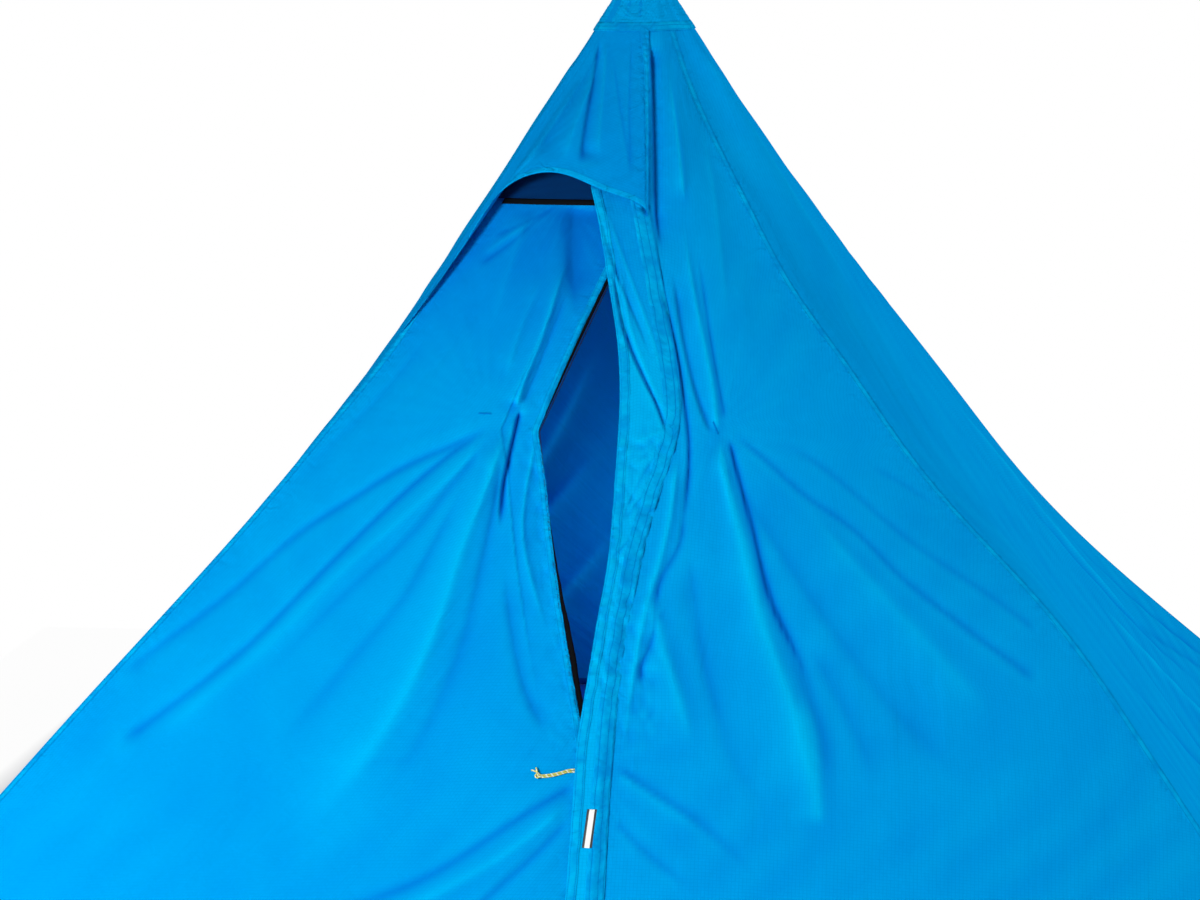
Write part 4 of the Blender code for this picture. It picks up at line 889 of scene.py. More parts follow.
def hood_points(u, v):
    """u runs from the left ridge to the centre seam and v from the peak to the free edge. The height
    falls evenly to the edge's height, the share of the half width goes from the peak's to the edge's,
    and the cloth stands off the face by a half sine over u that grows with v."""
    knots = np.array(HOOD_EDGE + ((float(hood_share(HOOD_END)), HOOD_END),))
    steps = np.linspace(0.0, 1.0, len(knots))
    edge_share, edge_z = spline(u, steps, knots[:, 0]), spline(u, steps, knots[:, 1])
    z = PANEL_TOP + (edge_z - PANEL_TOP) * v
    top = 1 + (hood_share(PANEL_TOP) - 1) * u
    straight = top + (edge_share - top) * v
    to_seam = smooth(u, 0.75, 1.0)
    share = straight * (1 - to_seam) + hood_share(z) * to_seam
    stand = HOOD_STAND * np.sin(math.pi * np.clip(u, 0, 1)) ** 0.8 * smooth(v, 0.30, 1.0)
    x = -ridge(z) * share
    held = 1 - 0.85 * smooth(v, 0.86, 0.95)
    return on_face("front", x, z, 0.0018 + stand + hood_lift(x, z) * held), x, z


u = row(0.0, 1.0, 190)
points, x, z = hood_points(u, column(0.0, 1.0, 180))
hood_cut = points[::-1]
lengths = cloth_lengths(hood_cut)
pucker = np.maximum(np.exp(-lengths[..., 1] / 0.014), np.exp(-(seam_x(z) + HOOD_LAP - x)[::-1] / 0.020))
# painted shade: the hood's crest channel is lowered by 0.12, so the hood is a little darker all over
hood = grid_piece("vent_hood_cloth", hood_cut, lengths, pucker=pucker,
                  crest=painted_relief_shade(hood_lift(x, z)[::-1]) - 0.12)
dress(hood, nylon, "ripstop", "vent_hood_panel")

rim = hood_points(u, column(1.0 - 0.026, 1.0, 9))[0]
outward = np.array([0.0, -1.0, 0.35]) / math.hypot(1.0, 0.35)
rise = np.array([1, 4, 5, 5, 5, 6, 7, 5, -6])[:, None, None] / 10000
# painted highlight: the hem along the brim gets a crest of 0.15, lighter than the hood, as the rim catches the light
hem = grid_piece("vent_hood_hem", (rim + outward * rise)[::-1], pucker=1.0, crest=0.15)
dress(hem, nylon, "ripstop")

v = column(0.22, 0.992, 260)
whole = hood_points(row(0.0, 1.0, 60), v)[1]
inset = row(0.0240, 0.0002, 12) + 0.0006 * ripple(v, 130, 2, 37)
centre = hood_points(1 - inset / (whole[:, -1:] - whole[:, :1]), v)[0]
gathers = 0.0011 * ripple(centre[..., 2], 560, 3, 71) * np.sin(math.pi * row(0.0, 1.0, 12))
centre[..., 1] -= 0.0005 + domed(12, 0.0014) + gathers
seam = strip_piece("centre_seam", centre, felled)
hung(hood, hood_cut, flat=(0.40, 0.57), trim=[hem, seam])


# Storm flap: a doubled strip of the same cloth, sewn beside the zip on the right and free on the left,
# where it stands over the coil. It is wider and creased where the door hangs slack. Its two sides are
# given as height and distance from the middle, in millimetres.

FLAP_TOP = 1.128
FLAP_FREE = ((0, -16), (180, -15), (284, -15), (342, -14), (401, -8), (495, 2), (576, 11.5), (658, 13.5),
             (742, 13.5), (799, 12), (899, -2), (962, -18), (1069, -46), (1130, -66))
FLAP_SEWN = ((0, 41), (140, 41), (252, 39), (335, 40), (418, 44), (517, 54), (595, 66), (675, 86),
             (763, 107), (861, 94), (979, 63), (1068, 39), (1130, 18))
FLAP_FOLDS = (
    (((-16, 992), (-3, 943), (11, 899), (44, 835), (67, 795), (88, 751)), 4, 3.2, -7.5, 0.15, 0.06),
    (((-4, 992), (10, 943), (24, 899), (55, 835), (77, 789)), 6, 6, 2.8, 0.15, 0.2),
    (((-49, 1091), (-16, 1002), (36, 900), (64, 842)), 4, 5, -2.8, 0.2, 0.3),
    (((-32, 1080), (18, 972), (52, 900), (79, 828)), 5, 5, 3, 0.2, 0.3),
    (((91, 744), (67, 710), (37, 650), (24, 600)), 5, 6, -2.4, 0.1, 0.3),
    (((86, 757), (33, 736)), 5, 8, 2, 0.15, 0.4),
    (((85, 742), (28, 701)), 4, 7, -1.6, 0.15, 0.4),
    (((34, 631), (55, 659), (76, 673)), 4, 4, -2.6, 0.25, 0.25),
    (((18, 577), (43, 604)), 3.5, 3.5, -2.2, 0.25, 0.25),
)


def flap_sides(z):
    return profile(z, FLAP_FREE), profile(z, FLAP_SEWN)


def flap_waves(x, z):
    """Folds of the flap, gathered by its stitching in small waves that die away from the rows."""
    free, sewn = flap_sides(z)
    at_free = ripple(z, 420, 2.2, 61) * np.exp(-((x - free) / 0.014) ** 2) * 0.0007
    at_seam = ripple(z, 510, 1.8, 47) * np.exp(-((sewn - x - 0.012) / 0.012) ** 2) * 0.0006
    slack = 0.25 + 1.3 * smooth(z, 0.34, 0.42) * (1 - smooth(z, 0.72, 0.80))
    creases = 1.5 * folds(x, z, FLAP_FOLDS) * smooth(sewn - x, 0.0, 0.010)
    return at_free + at_seam + 0.040 * slack * crumpled(x, z) + creases


def flap_lift(x, z):
    """Height over the face: level over the zip, then down to the seam by a smooth step, and rolled
    under at the free edge."""
    free, sewn = flap_sides(z)
    lap = sewn - 0.008
    knee = np.maximum(ZIP_X + 0.011, 0.55 * lap + 0.45 * ZIP_X)
    stand = 0.0022 + 0.0090 * (1 - smooth(x, knee - 0.004, lap + 0.006))
    return stand - 0.0016 * np.exp(-((x - free) / 0.003) ** 2) + flap_waves(x, z)


def flap_points(x, z, rise=0.0):
    """The flap over the right panel: its own height over the folds below, which count more to the right."""
    base = front_relief(x, z) * smooth(x - ZIP_X, 0.02, 0.06)
    return on_face("front", x, z, base + flap_lift(x, z) + rise)


z = column(0.0, FLAP_TOP, 630)
free, sewn = flap_sides(z)
x = free + (sewn - free) * row(0.0, 1.0, 44)
flap_cut = flap_points(x, z)
gather = np.maximum(np.exp(-(x - free) / 0.010), np.exp(-np.abs(sewn - x - 0.012) / 0.010))
# painted light and shade: the flap's crest channel is raised by 0.32, lighter all over, and lowered towards its top as
# painted shadow of the hood's brim
flap = grid_piece("storm_flap_cloth", flap_cut, pucker=gather,
                  crest=0.32 + painted_relief_shade(flap_waves(x, z)) - 0.40 * smooth(z, 0.84, 1.02))
dress(flap, nylon, "ripstop", "storm_flap")

z = column(0.0, FLAP_TOP - 0.001, 570)
free, sewn = flap_sides(z)
x = free + row(0.0006, 0.0165, 9) + 0.0006 * ripple(z, 95, 2, 31)
hem_cloth = stitched("doubled hem, nylon thread", "#0090D6", "#00B0E6", "#0086CC", (0.0030, 0.0135))
hem = strip_piece("flap_hem", flap_points(x, z, 0.0003 + domed(9, 0.0009)), hem_cloth)
x = sewn - row(0.0260, 0.0006, 11) + 0.0007 * ripple(z, 83, 2, 27)
seam_cloth = stitched("flap seam, nylon thread", "#008AD2", "#00AAE4", "#0080CA", (0.0060, 0.0190))
seam = strip_piece("flap_seam", flap_points(x, z, 0.0003 + domed(11, 0.0008)), seam_cloth)
hung(flap, flap_cut, "hung", trim=[hem, seam])


# Vent: black insect netting behind the hood, sewn to the right panel and the door's top, and a black
# grosgrain binding over the raw top edge of the door below it.

NET_PITCH = 0.0022
net, tree, shader = new_material("black insect netting")
threads = crossed(tree, on_cloth(tree)[1], NET_PITCH, 0.5)
# painted light: the holes between the black threads are a mid blue for the blue light seen through the mesh, and the
# threads are navy, as lit by it
colour = add(tree, "Mix", {0: threads, 6: linear("#08488C"), 7: linear("#03183A")}, data_type="RGBA")
surface(shader, colour, 0.85, 0.0, (threads, 0.4, 0.0003))
z = column(1.082, 1.20, 40)
x = -(ridge(z) - 0.004) + (seam_x(z) + 0.006 + ridge(z) - 0.004) * row(0.0, 1.0, 80)
sag = -0.0022 - 0.004 * np.sin(math.pi * row(0.0, 1.0, 80)) * np.sin(math.pi * column(0.0, 1.0, 40))
points = on_face("front", x, z, sag)
netting = grid_piece("vent_netting", points, wall=0.0004)
dress(netting, net, "netting", "vent_mesh")
hung(netting, points)


def woven(name, dark, light, pitch, rough=0.75, gleam=0.25):
    """Narrow woven goods: ribs across the width every pitch, with a faint lengthwise twill."""
    material, tree, shader = new_material(name)
    parts = on_cloth(tree)[1]
    across = lines(tree, parts.outputs[1], pitch, 0.9)
    along = lines(tree, parts.outputs[0], pitch * 1.5, 0.7)
    rib = add(tree, "Math", {0: across, 1: along}, operation="ADD")
    half = add(tree, "Math", {0: rib, 1: 0.5}, operation="MULTIPLY")
    colour = add(tree, "Mix", {0: half, 6: linear(dark), 7: linear(light)}, data_type="RGBA")
    surface(shader, colour, rough, gleam, (half, 0.6, 0.0004))
    return material


grosgrain = woven("black grosgrain binding", "#020304", "#0A0D12", 0.0018, gleam=0.05)
z = column(DOOR_TOP - 0.0080, DOOR_TOP + 0.0010, 7)
x = -0.88 * ridge(z) * row(1.0, 0.0, 90)
below = door_lift(x, np.minimum(z, DOOR_TOP - 0.001)) * 0.5
points = on_face("front", x, z, below + 0.0006 + domed(7, 0.0012)[:, None])
binding = grid_piece("vent_binding", points, cloth_lengths(points)[..., ::-1], wall=0.0008)
dress(binding, grosgrain, "zip_tape", "vent_edge_binding")


# Zip: polyester tape sewn behind each door edge with a nylon coil along it. The coil is one helix of
# monofilament; the teeth of the two sides lie in each other where the zip is closed. The left tape
# shows past the door's edge at the foot of the gap.

COIL_FOOT = 0.016
COIL_PITCH = 0.0017
SHOWN_TAPE = ((0, 0), (295, 0), (310, 7), (335, 13.5), (373, 12), (410, 12.3), (450, 13.3), (516, 8.4),
              (640, 1.8), (680, 0), (1090, 0))


def closed(piece):
    """Merges the doubled points of a closed surface and turns its faces outwards."""
    work = bmesh.new()
    work.from_mesh(piece.data)
    bmesh.ops.remove_doubles(work, verts=work.verts, dist=2e-6)
    bmesh.ops.recalc_face_normals(work, faces=work.faces)
    work.to_mesh(piece.data)
    work.free()
    piece.data.shade_smooth()
    return piece


def swept(name, path, radius, sides):
    """Tube along a path of points: a ring of sides points on two normals carried along the path by
    projecting the last one on each new plane; the ends are closed by a point."""
    path = np.asarray(path, float)
    tangent = np.gradient(path, axis=0)
    tangent /= np.linalg.norm(tangent, axis=1)[:, None]
    normal = np.zeros_like(path)
    first = np.cross(tangent[0], [0.3, 0.2, 0.9])
    normal[0] = first / np.linalg.norm(first)
    for k in range(1, len(path)):
        kept = normal[k - 1] - tangent[k] * (normal[k - 1] @ tangent[k])
        normal[k] = kept / np.linalg.norm(kept)
    other = np.cross(tangent, normal)
    angle = row(0.0, 2 * math.pi, sides + 1)
    ring = normal[:, None] * np.cos(angle)[..., None] + other[:, None] * np.sin(angle)[..., None]
    ends = np.repeat(path[[0, -1], None], sides + 1, 1)
    points = np.concatenate([ends[:1], path[:, None] + ring * radius, ends[1:]])
    run = np.concatenate([[0.0], np.cumsum(np.linalg.norm(np.diff(path, axis=0), axis=1))])
    uv = np.stack(np.broadcast_arrays(angle * radius, np.pad(run, 1, mode="edge")[:, None]), axis=-1)
    return closed(grid_piece(name, points[:, ::-1], uv[:, ::-1], wall=0.0))


tape_cloth = woven("polyester zip tape", "#020304", "#0A0C10", 0.0012, gleam=0.05)
coil_nylon, tree, shader = new_material("nylon zip coil, moulded")
body = add(tree, "TexCoord").outputs["Object"]
grain = add(tree, "TexNoise", {"Vector": body, "Scale": 900.0, "Detail": 1.0})
surface(shader, linear("#07090B"), 0.45, 0.2, (grain, 0.15, 0.0002))
for side, name in ((-1, "left"), (1, "right")):
    z = column(0.014, ZIP_TOP, 330)
    x = ZIP_X + side * row(0.0012, 0.016, 7)
    if side < 0:
        x = x - opening(z) + profile(z, SHOWN_TAPE) * row(1.0, 0.0, 7)
    points = on_face("front", x, z, follow(side, x, z) - 0.0012)[:, ::side]
    tape = grid_piece("zip_tape_cloth_" + name, points, wall=0.0005)
    dress(tape, tape_cloth, "zip_tape", "zip_tape_" + name)

    turns = int((ZIP_TOP - COIL_FOOT) / COIL_PITCH)
    t = np.linspace(0.0, turns * 2 * math.pi, turns * 8 + 1)
    z = COIL_FOOT + (ZIP_TOP - COIL_FOOT - 0.002) * t / t[-1]
    x = ZIP_X + side * (0.0017 + 0.0014 * np.cos(t))
    if side < 0:
        x = x - opening(z)
    path = on_face("front", x, z, follow(side, x, z) - 0.0003 + 0.0009 * np.sin(t))
    dress(swept("zip_coil_" + name, path, 0.00035, 4), coil_nylon, "zip_tape")


# Pull cord: two millimetre accessory cord with reflective flecks, looped through the upper slider's bail,
# led out to the left under the flap, tied off with an overhand knot and cut with two short tails.

UPPER_SLIDER_Z = 0.290
lean = math.atan2(HALF_HEM_MIDDLE - HALF_PEAK, HEIGHT)
zip_place = np.array([ZIP_X, -float(middle("front", UPPER_SLIDER_Z)), UPPER_SLIDER_Z])


def from_zip(points):
    """From the slider's own axes, z up the zip and -y outwards, to the tent's: tipped back by the lean."""
    points = np.asarray(points, float)
    x, y, z = points[..., 0], points[..., 1], points[..., 2]
    return np.stack([x, y * math.cos(lean) + z * math.sin(lean), z * math.cos(lean) - y * math.sin(lean)],
                    axis=-1) + zip_place


def through(points, steps):
    """Points on a Catmull-Rom curve through each given point."""
    points = np.asarray(points, float)
    padded = np.concatenate([[2 * points[0] - points[1]], points, [2 * points[-1] - points[-2]]])
    t = (np.arange(steps) / steps)[None, :, None]
    a, b, c, d = (padded[k:len(padded) - 3 + k][:, None, :] for k in range(4))
    curve = 0.5 * (2 * b + (c - a) * t + (2 * a - 5 * b + 4 * c - d) * t ** 2
                   + (3 * b - a - 3 * c + d) * t ** 3)
    return np.concatenate([curve.reshape(-1, 3), points[-1:]])


cord_stuff, tree, shader = new_material("braided accessory cord, reflective flecks")
parts = on_cloth(tree)[1]
lay = add(tree, "Math", {0: parts, 1: parts.outputs[1]}, operation="ADD")
counter = add(tree, "Math", {0: parts.outputs[1], 1: parts}, operation="SUBTRACT")
strand = lines(tree, lay, 0.0026, 0.9)
cross = lines(tree, counter, 0.0026, 0.9)
fleck = lines(tree, counter, 0.0078, 0.34)
colour = add(tree, "Mix", {0: strand, 6: linear("#A9A944"), 7: linear("#CFCB62")}, data_type="RGBA")
flecked = add(tree, "Mix", {0: fleck, 6: colour, 7: linear("#EFF0DC")}, data_type="RGBA")
braid = add(tree, "Math", {0: strand, 1: cross}, operation="MAXIMUM")
surface(shader, flecked, 0.7, 0.5, (braid, 0.7, 0.0005))

EYE = -(0.0002 * math.cos(lean) + 0.0004) - 0.0016 - 0.0015
near, resting = EYE + 0.0010, -0.0019
arc = [(-0.0054 + 0.0054 * math.cos(a), EYE, 0.0054 * math.sin(a)) for a in np.radians((90, 45, 0, -45, -90))]
leads = ((-0.0130, near), (-0.0260, near + 0.0008), (-0.0400, resting), (-0.0560, resting),
         (-0.0700, resting), (-0.0815, resting))
away, back = ([lead + (height,) for lead, height in zip(leads, heights)]
              for heights in ((0.0056, 0.0062, 0.0050, 0.0, -0.0034, -0.0046),
                              (-0.0034, 0.0012, 0.0018, -0.0030, -0.0064, -0.0076)))
route = from_zip(through(away[::-1] + arc + back, 8))
cord_length = float(np.linalg.norm(np.diff(route, axis=0), axis=1).sum())
pull = swept("pull_cord_braid", route, 0.0013, 12)
dress(pull, cord_stuff, "pull_cord", "pull_cord", body="upper_slider")

t = np.linspace(0.0, 2 * math.pi, 60)
knot_path = np.stack([-0.0858 + 0.0030 * np.cos(t) * (1 + 0.35 * np.cos(2 * t)),
                      -0.0036 + 0.0013 * np.sin(2 * t + 0.6), -0.0062 + 0.0030 * np.sin(t)], axis=-1)
knot = swept("pull_knot_cord", from_zip(knot_path), 0.00135, 12)
dress(knot, cord_stuff, "pull_cord", "pull_knot", body="upper_slider")
tails = [[(-0.0840, -0.0034, -0.0040), (-0.0875, -0.0036, -0.0010), (-0.0915, -0.0030, 0.0016),
          (-0.0965, -0.0022, 0.0030)],
         [(-0.0835, -0.0032, -0.0080), (-0.0862, -0.0040, -0.0050), (-0.0880, -0.0038, 0.0010),
          (-0.0900, -0.0026, 0.0070)]]
tail_pieces = []
for number, tail in enumerate(tails):
    piece = swept("pull_tail_%d" % number, from_zip(through(tail, 6)), 0.0012, 10)
    tail_pieces.append(dress(piece, cord_stuff, "pull_cord", body="upper_slider"))
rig.cord(pull, exit=tuple(route[0]), length=cord_length, diameter=0.0026, far_end="knot", stiffness="limp",
        lay="loose", path=[tuple(p) for p in route], with_pieces=[knot] + tail_pieces)


# Reflective tab: 15 mm black webbing with a pale reflective stripe, sewn on the flap.

TAB_HALF = 0.0074
stripe, tree, shader = new_material("reflective webbing, glass bead stripe")
parts = on_cloth(tree)[1]
off = add(tree, "Math", {0: parts, 1: TAB_HALF}, operation="SUBTRACT")
far = add(tree, "Math", {0: off}, operation="ABSOLUTE")
within = add(tree, "MapRange", {"Value": far, "From Min": 0.0041, "From Max": 0.0037})
ribs = lines(tree, parts.outputs[1], 0.0016, 0.8)
bright = add(tree, "Mix", {0: ribs, 6: linear("#E6E8E6"), 7: linear("#F6F6F2")}, data_type="RGBA")
colour = add(tree, "Mix", {0: within, 6: linear("#101215"), 7: bright}, data_type="RGBA")
surface(shader, colour, 0.4, 0.5, (ribs, 0.4, 0.0003))
z = column(0.1985, 0.2475, 26)
x = 0.0135 + 0.004 * (z - 0.223) / 0.05 + row(-TAB_HALF, TAB_HALF, 9)
tab = grid_piece("reflective_tab_webbing", flap_points(x, z, 0.0010 + domed(9, 0.0005)), wall=0.0009)
dress(tab, stripe, "reflective", "reflective_tab")


# Peak cap: a reinforced cap of the same cloth over the panels' tops, sewn on with two rows of thread
# 10 mm and 4 mm above its lower edge, and drawn together over the pole's cup.

CAP_HEM = 1.352
CAP_SHOULDER = 1.4495
CAP_TOP = 1.4545
FACE_STEPS = 26


def around(z, lift):
    """Rings round the tent at the heights z, lift off the cloth: each face from corner to corner, with
    the corners rounded by averaging each point with its neighbours."""
    reach = ridge(z) + lift
    across = reach * row(-1.0, 1.0, FACE_STEPS + 1)[:, :-1]
    ring = np.concatenate([on_face(face, across, z, lift) for face in FACES], axis=1)
    for _ in range(3):
        ring = 0.5 * ring + 0.25 * (np.roll(ring, 1, axis=1) + np.roll(ring, -1, axis=1))
    return np.concatenate([ring, ring[:, :1]], axis=1)


def gathered(rings, count, start, depth):
    """The rings with count soft pleats round them, depth deep, pushed out and in along the ground."""
    outward = rings * np.array([1.0, 1.0, 0.0])
    outward = outward / np.linalg.norm(outward, axis=-1, keepdims=True)
    pleat = np.sin(row(0.0, 2 * math.pi, rings.shape[1]) * count + start)
    return rings + outward * (pleat * depth)[..., None]


z = column(CAP_HEM, CAP_SHOULDER, 46)
fall = smooth(z, CAP_HEM, CAP_HEM + 0.03) * (1 - smooth(z, 1.425, 1.449))
side = gathered(around(z, 0.0026 + 0.0004 * ripple(z, 800, 3, 200)), 21, 1.1, 0.0011 * fall)
t = np.linspace(0.0, 1.0, 9)[1:, None, None]
top = side[-1:] * (1 - t)
top[..., 2] = CAP_SHOULDER + (CAP_TOP - CAP_SHOULDER) * np.sin(0.5 * math.pi * t[..., 0])
points = np.concatenate([side, top])
cap = closed(grid_piece("peak_cap_cloth", points, pucker=0.6, crest=0.1))
dress(cap, nylon, "ripstop", "peak_cap")
z = column(CAP_HEM - 0.0006, CAP_HEM + 0.0132, 9)
band = gathered(around(z, 0.0029 + domed(9, 0.0005)[:, None]), 34, 0.4, 0.0005)
hung(cap, points, flat=(0.21, 0.24), trim=[strip_piece("peak_cap_hem", band, felled, lying=True)])


# Hem tape and corner patches: a polyester tape sewn inside the bottom edge, and a doubled triangle of
# cloth inside each corner, where the stake loops pull. Both lie against the panels' inner side.

BESIDE_ZIP = 0.033
z = column(0.0, HEM, 4)
lift = -0.0020
reach = ridge(z) + lift
run = row(0.0, 1.0, 60)
lengths = [on_face("front", BESIDE_ZIP + (reach - BESIDE_ZIP) * run[:, :-1], z, lift)]
lengths += [on_face(face, reach * (2 * run[:, :-1] - 1), z, lift) for face in ("right", "back", "left")]
lengths.append(on_face("front", -reach + (reach - 0.001) * run, z, lift))
points = np.concatenate(lengths, axis=1)
tape = grid_piece("hem_tape_cloth", points, cloth_lengths(points)[..., ::-1], wall=0.0007)
dress(tape, woven("polyester hem tape", "#0A3F86", "#0E55A8", 0.0014, gleam=0.0), "zip_tape", "hem_tape")

lining = ripstop("reinforcement cloth, doubled", "#00478F", "#0064B0")
CORNERS = (("front_right", "front", "right"), ("back_right", "right", "back"), ("back_left", "back", "left"),
           ("front_left", "left", "front"))
PATCH_LOW, PATCH_HIGH = 0.015, 0.120
PATCH_LIFT = -0.0026
for name, first, second in CORNERS:
    z = column(PATCH_LOW, PATCH_HIGH, 40)
    reach = ridge(z) + PATCH_LIFT
    spread = 0.012 + 0.17 * (PATCH_HIGH - z) / (PATCH_HIGH - PATCH_LOW)
    s = row(0.0, 1.0, 26)
    sides = [on_face(face, a, z, relief(face, a, z) + PATCH_LIFT)
             for face, a in ((first, reach - spread * (1 - s)), (second, -reach + spread * s))]
    points = np.concatenate([sides[0][:, :-1], sides[1]], axis=1)
    patch = grid_piece("corner_patch_cloth_" + name, points, pucker=0.3, crest=0.0)
    dress(patch, lining, "reinforcement", "corner_patch_" + name)
    hung(patch, points, flat=(0.36, 0.105))


# Webbing: 20 mm black polyester webbing, 1.5 mm thick. At each corner a tab is folded and sewn through
# the seam and holds a ladder lock, and a stake loop runs through the lock. A fixed loop is sewn up the
# middle of each side, and a narrow tab behind the front on each side takes the rolled door.

webbing = woven("black polyester webbing", "#07080A", "#22252B", 0.0024)
thread = woven("bonded nylon thread, bar tack", "#15181D", "#3A4048", 0.0009, rough=0.6)
blue_thread = woven("bonded nylon thread, blue", "#0068BC", "#0080D0", 0.0009, rough=0.6, gleam=0.0)
WEBBING = 0.0196
TEARDROP = ((0.0, 2.8), (8.0, 4.6), (16.0, 7.8), (23.0, 10.3), (29.0, 10.9), (35.5, 8.6), (39.7, 3.2))


def ribbon(name, path, across, width, thick):
    """Flat strip of webbing: at each point of the path a row across it, rounded down at both edges. Its
    outer face is the grid, and its thickness goes to the side that faces away from it."""
    path, across = np.asarray(path, float), np.asarray(across, float)
    across = np.broadcast_to(across / np.linalg.norm(across, axis=-1, keepdims=True), path.shape)
    out = np.cross(np.gradient(path, axis=0), across)
    out /= np.linalg.norm(out, axis=-1, keepdims=True)
    s = row(-0.5, 0.5, 9)[..., None]
    sunk = -0.22 * thick * (2 * np.abs(s)) ** 6
    points = path[:, None] + across[:, None] * s * width + out[:, None] * sunk
    return grid_piece(name, points[:, ::-1], wall=thick)


def out_of(place, facing, points):
    """From a loop's own axes, x outwards along the ground, to the tent's: turned by facing, then moved."""
    points = np.asarray(points, float)
    x, y = points[..., 0], points[..., 1]
    return np.stack([x * math.cos(facing) - y * math.sin(facing) + place[0],
                     x * math.sin(facing) + y * math.cos(facing) + place[1],
                     points[..., 2] + place[2]], axis=-1)


def stake_ring(name, place, facing, start):
    """Upright band of webbing round a teardrop in plan, in millimetres for one half, 15 mm tall, where
    the stake goes through."""
    plan = [(start + x / 1000, y / 1000, 0.0075) for x, y in TEARDROP]
    plan += [(x, -y, z) for x, y, z in plan[::-1]]
    return ribbon(name, out_of(place, facing, through(plan, 6)), (0, 0, -1.0), 0.015, 0.0015)


def bar_tack(name, place, facing, at, width, length):
    """Dense zigzag bar of thread across the webbing, a low dome 0.5 mm high."""
    s = np.linspace(-0.5, 0.5, 9)
    x, y = np.meshgrid(at[0] + s * length, at[1] + s * width)
    z = at[2] + 0.0005 * (1 - (2 * s[None, :]) ** 4) * (1 - (2 * s[:, None]) ** 4)
    tack = grid_piece(name, out_of(place, facing, np.stack([x, y, z], axis=-1)), wall=0.0004)
    return dress(tack, thread, "webbing")


for name, face, _ in CORNERS:
    place = on_face(face, np.array(HALF_BASE), np.array(0.0))
    facing = math.atan2(place[1], place[0])
    across = out_of((0, 0, 0), facing, (0, 1.0, 0))
    folded = [(x, 0.0, 0.0007) for x in np.linspace(-0.006, 0.058, 24)]
    folded += [(0.0592 + 0.0008 * math.sin(a), 0.0, 0.0016 - 0.0008 * math.cos(a))
               for a in np.linspace(0.3, math.pi - 0.3, 8)]
    folded += [(x, 0.0, 0.0024) for x in np.linspace(0.058, 0.020, 14)]
    tab = ribbon("corner_tab_webbing_" + name, out_of(place, facing, folded), across, WEBBING, 0.0007)
    dress(tab, webbing, "webbing", "corner_tab_" + name)
    bar_tack("corner_tack_" + name, place, facing, (0.023, 0.0, 0.0026), 0.017, 0.003)
    straight = [(x, 0.0, 0.0049) for x in np.linspace(0.014, 0.107, 30)]
    strap = ribbon("stake_strap_" + name, out_of(place, facing, straight), across, WEBBING, 0.0015)
    ring = stake_ring("stake_ring_" + name, place, facing, 0.105)
    for piece in (strap, ring):
        dress(piece, webbing, "webbing", "stake_loop_" + name, body="loop_" + name)

for face, a in (("front", 0.055), ("right", 0.0), ("back", 0.0), ("left", 0.0)):
    place = on_face(face, np.array(a), np.array(0.0))
    facing = (FACES.index(face) - 1) * math.pi / 2
    z = column(0.0, 0.045, 20)
    x = a + 0.5 * WEBBING * row(-1.0, 1.0, 9)
    points = on_face(face, x, z, relief(face, x, z) + 0.0019)
    tab = grid_piece("hem_loop_webbing_" + face, points, wall=0.0015)
    ring = stake_ring("hem_ring_" + face, place, facing, 0.0006)
    for piece in (tab, ring):
        dress(piece, webbing, "webbing", "hem_loop_" + face)
    for number, low in enumerate((0.006, 0.038)):
        points = on_face(face, a + 0.0085 * row(-1.0, 1.0, 12), column(low, low + 0.003, 6),
                         0.0022 + domed(6, 0.0004)[:, None])
        tack = grid_piece("hem_loop_tack_%s_%d" % (face, number), points, wall=0.0004)
        dress(tack, thread, "webbing")

TIES = (("door_tie_left", -1, -0.200, -0.200, 0.775, 0.0), ("door_tie_right", 1, 0.176, 0.163, 0.759, 1.13))
for name, side, tie_x, tack_x, tack_z, tilt in TIES:
    z = column(0.737, 0.773, 16)
    x = tie_x + 0.0065 * row(-1.0, 1.0, 9)
    tie = grid_piece(name + "_webbing", on_face("front", x, z, follow(side, x, z) - 0.0022), wall=0.0014)
    dress(tie, webbing, "webbing", name)
    s = row(-0.0100, 0.0100, 14)
    t = column(-0.0011, 0.0011, 5)
    x = tack_x + s * math.cos(tilt) + t * math.sin(tilt)
    z = tack_z - s * math.sin(tilt) + t * math.cos(tilt)
    points = on_face("front", x, z, follow(side, x, z) + 0.0003 + 0.0004 * (1 - (t / 0.0011) ** 2))
    dress(grid_piece(name + "_tack", points[::-1], wall=0.0004), blue_thread, "ripstop")


# Hardware: acetal ladder locks, pole lock and lever, a polyamide stay in the vent's brim, zinc sliders,
# and a pole of two drawn and anodised aluminium tubes with a moulded tip, rubber cup and rubber foot.

def finish_of(name, colour, other, rough, metallic=1.0, grain=1100.0, stretch=(1, 1, 1), depth=0.15,
              spread=0.06):
    """Moulded, cast or drawn surface: a fine noise, stretched along the way it was drawn, varies the
    colour and roughness a little and gives the bump."""
    material, tree, shader = new_material(name)
    body = add(tree, "TexCoord").outputs["Object"]
    drawn_out = add(tree, "Mapping", {"Vector": body, "Scale": stretch})
    noise = add(tree, "TexNoise", {"Vector": drawn_out, "Scale": grain, "Detail": 3.0})
    shade = add(tree, "Mix", {0: noise, 6: linear(colour), 7: linear(other)}, data_type="RGBA")
    polish = add(tree, "MapRange", {"Value": noise, "To Min": rough - spread, "To Max": rough + spread})
    surface(shader, shade, polish, 0.5, (noise, depth, 0.0002))
    feed(shader, {"Metallic": metallic})
    return material


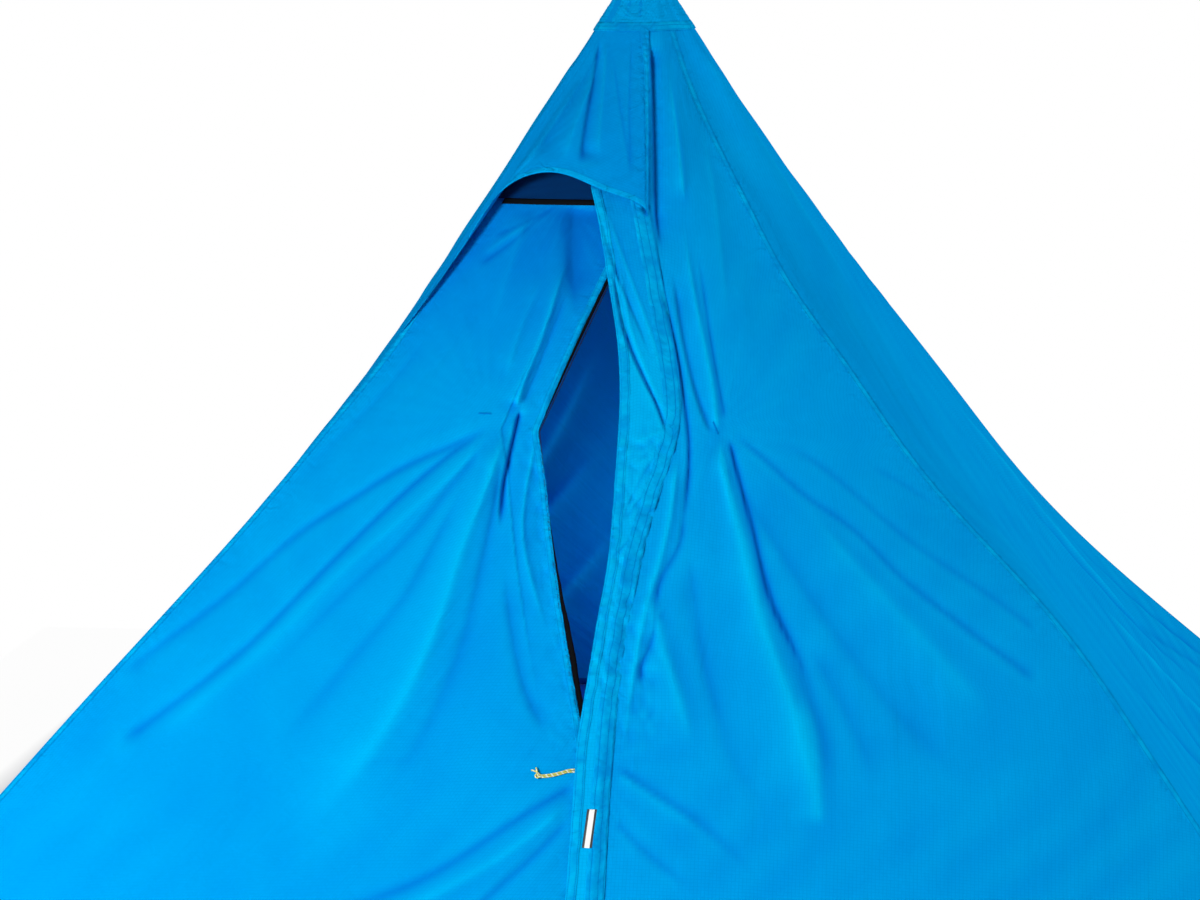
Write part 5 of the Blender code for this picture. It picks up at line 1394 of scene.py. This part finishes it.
acetal = finish_of("moulded acetal", "#111316", "#1B1E22", 0.42, 0.0, 900.0)
tube_alloy = finish_of("anodised aluminium, drawn", "#B9BDC2", "#A7ABB1", 0.30, 1.0, 1400.0, (1, 1, 0.02),
                       0.10, 0.08)
dark_zinc = finish_of("die cast zinc, black plated", "#2A2B2F", "#3A3B40", 0.34)
pin_steel = finish_of("stainless steel pin", "#A9A9AA", "#B6B6B7", 0.28, 1.0, 1600.0)
moulded_rubber = finish_of("moulded rubber", "#141414", "#202020", 0.78, 0.0, 700.0, depth=0.3)
HARDWARE = (
    (acetal, ["lock_collar", "lock_lever", "pole_tip", "hood_stay"]
     + ["ladder_lock_" + corner[0] for corner in CORNERS]),
    (tube_alloy, ["pole_upper_tube", "pole_lower_tube"]),
    (dark_zinc, ["upper_slider", "lower_slider"]),
    (pin_steel, ["lever_pin"]),
    (moulded_rubber, ["pole_cup", "pole_foot"]),
)
for material, names in HARDWARE:
    for name in names:
        materials = frame["nodes"][name].data.materials
        materials.clear()
        materials.append(material)


# Floor and light: a pale studio floor, painted blue under the tent for the light that comes through the cloth, a soft
# lamp in front on the left, a larger one further off on the right, and a pale surround. A lamp inside stands for the
# light that thin cloth lets through.

FLOOR_CORNERS = ((-14, -14), (14, -14), (14, 14), (-14, 14))
ground = bpy.data.meshes.new("floor")
ground.from_pydata([(x, y, -0.001) for x, y in FLOOR_CORNERS], [], [(0, 1, 2, 3)])
floor = bpy.data.objects.new("floor", ground)
scene.collection.objects.link(floor)
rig.stage(floor)
paper, tree, shader = new_material("pale studio floor")
here = add(tree, "NewGeometry").outputs["Position"]
place = add(tree, "VectorMath", {0: here}, operation="ABSOLUTE")
parts = add(tree, "SeparateXYZ", {0: place})
away = add(tree, "Math", {0: parts, 1: parts.outputs[1]}, operation="MAXIMUM")
# painted light: under the tent the floor is blue, for the blue light that comes through the cloth, and it turns pale
# past the hem
past_inside_light = add(tree, "MapRange", {"Value": away, "From Min": 1.04, "From Max": 1.12})
painted_inside_light = add(tree, "Mix", {0: past_inside_light, 6: linear("#1F86E0"), 7: linear("#E9E9E9")}, data_type="RGBA")
feed(shader, {"Base Color": painted_inside_light, "Roughness": 0.9})
beside = add(tree, "MapRange", {"Value": away, "From Min": 1.12, "From Max": 1.22, "To Max": 0.97})
beyond = add(tree, "MapRange", {"Value": away, "From Min": 1.15, "From Max": 1.5})
faded = add(tree, "Math", {0: beside, 1: beyond}, operation="MAXIMUM")
direct = add(tree, "LightPath").outputs["Is Camera Ray"]
share = add(tree, "Math", {0: faded, 1: direct}, operation="MULTIPLY")
white = add(tree, "Emission", {"Color": (1, 1, 1, 1), "Strength": 1.0})
mixed = add(tree, "MixShader", {0: share, 1: shader, 2: white})
feed(tree.nodes["Material Output"], {"Surface": mixed})
floor.data.materials.append(paper)


def lamp(name, kind, place, power):
    """Lamp of a kind at a place."""
    data = bpy.data.lights.new(name, kind)
    data.energy = power
    made = bpy.data.objects.new(name, data)
    made.location = place
    scene.collection.objects.link(made)
    return made


for name, place, target, size, power in (
        ("front_lamp", (-2.1, -3.8, 1.6), (0.0, -0.6, 0.35), 1.1, 141),
        ("right_lamp", (5.0, 0.2, 3.0), (0, 0, 0.6), 2.0, 172)):
    soft = lamp(name, "AREA", place, power)
    soft.data.shape = "SQUARE"
    soft.data.size = size
    soft.rotation_euler = (Vector(target) - Vector(place)).to_track_quat("-Z", "Y").to_euler()
inside = lamp("inside_light", "POINT", (0.08, 0.48, 0.10), 5.0)
inside.data.color = (0.65, 0.85, 1.0)
inside.data.shadow_soft_size = 0.25

world = bpy.data.worlds.new("surround")
scene.world = world
world.use_nodes = True
tree = world.node_tree
seen = add(tree, "LightPath").outputs
either = add(tree, "Math", {0: seen["Is Camera Ray"], 1: seen["Is Glossy Ray"]}, operation="MAXIMUM")
any_of = add(tree, "Math", {0: either, 1: seen["Is Transmission Ray"]}, operation="MAXIMUM")
level = add(tree, "MapRange", {"Value": any_of, "To Min": 0.20, "To Max": 1.0})
feed(tree.nodes["Background"], {"Color": (1, 1, 1, 1), "Strength": level})


# Sizes: the CAD model's box and this model's, for comparison.

low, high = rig.bounds()
with open("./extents.json", "w") as out:
    json.dump({"cad": [list(cad_low), list(cad_high)], "visual": [list(low), list(high)]}, out)
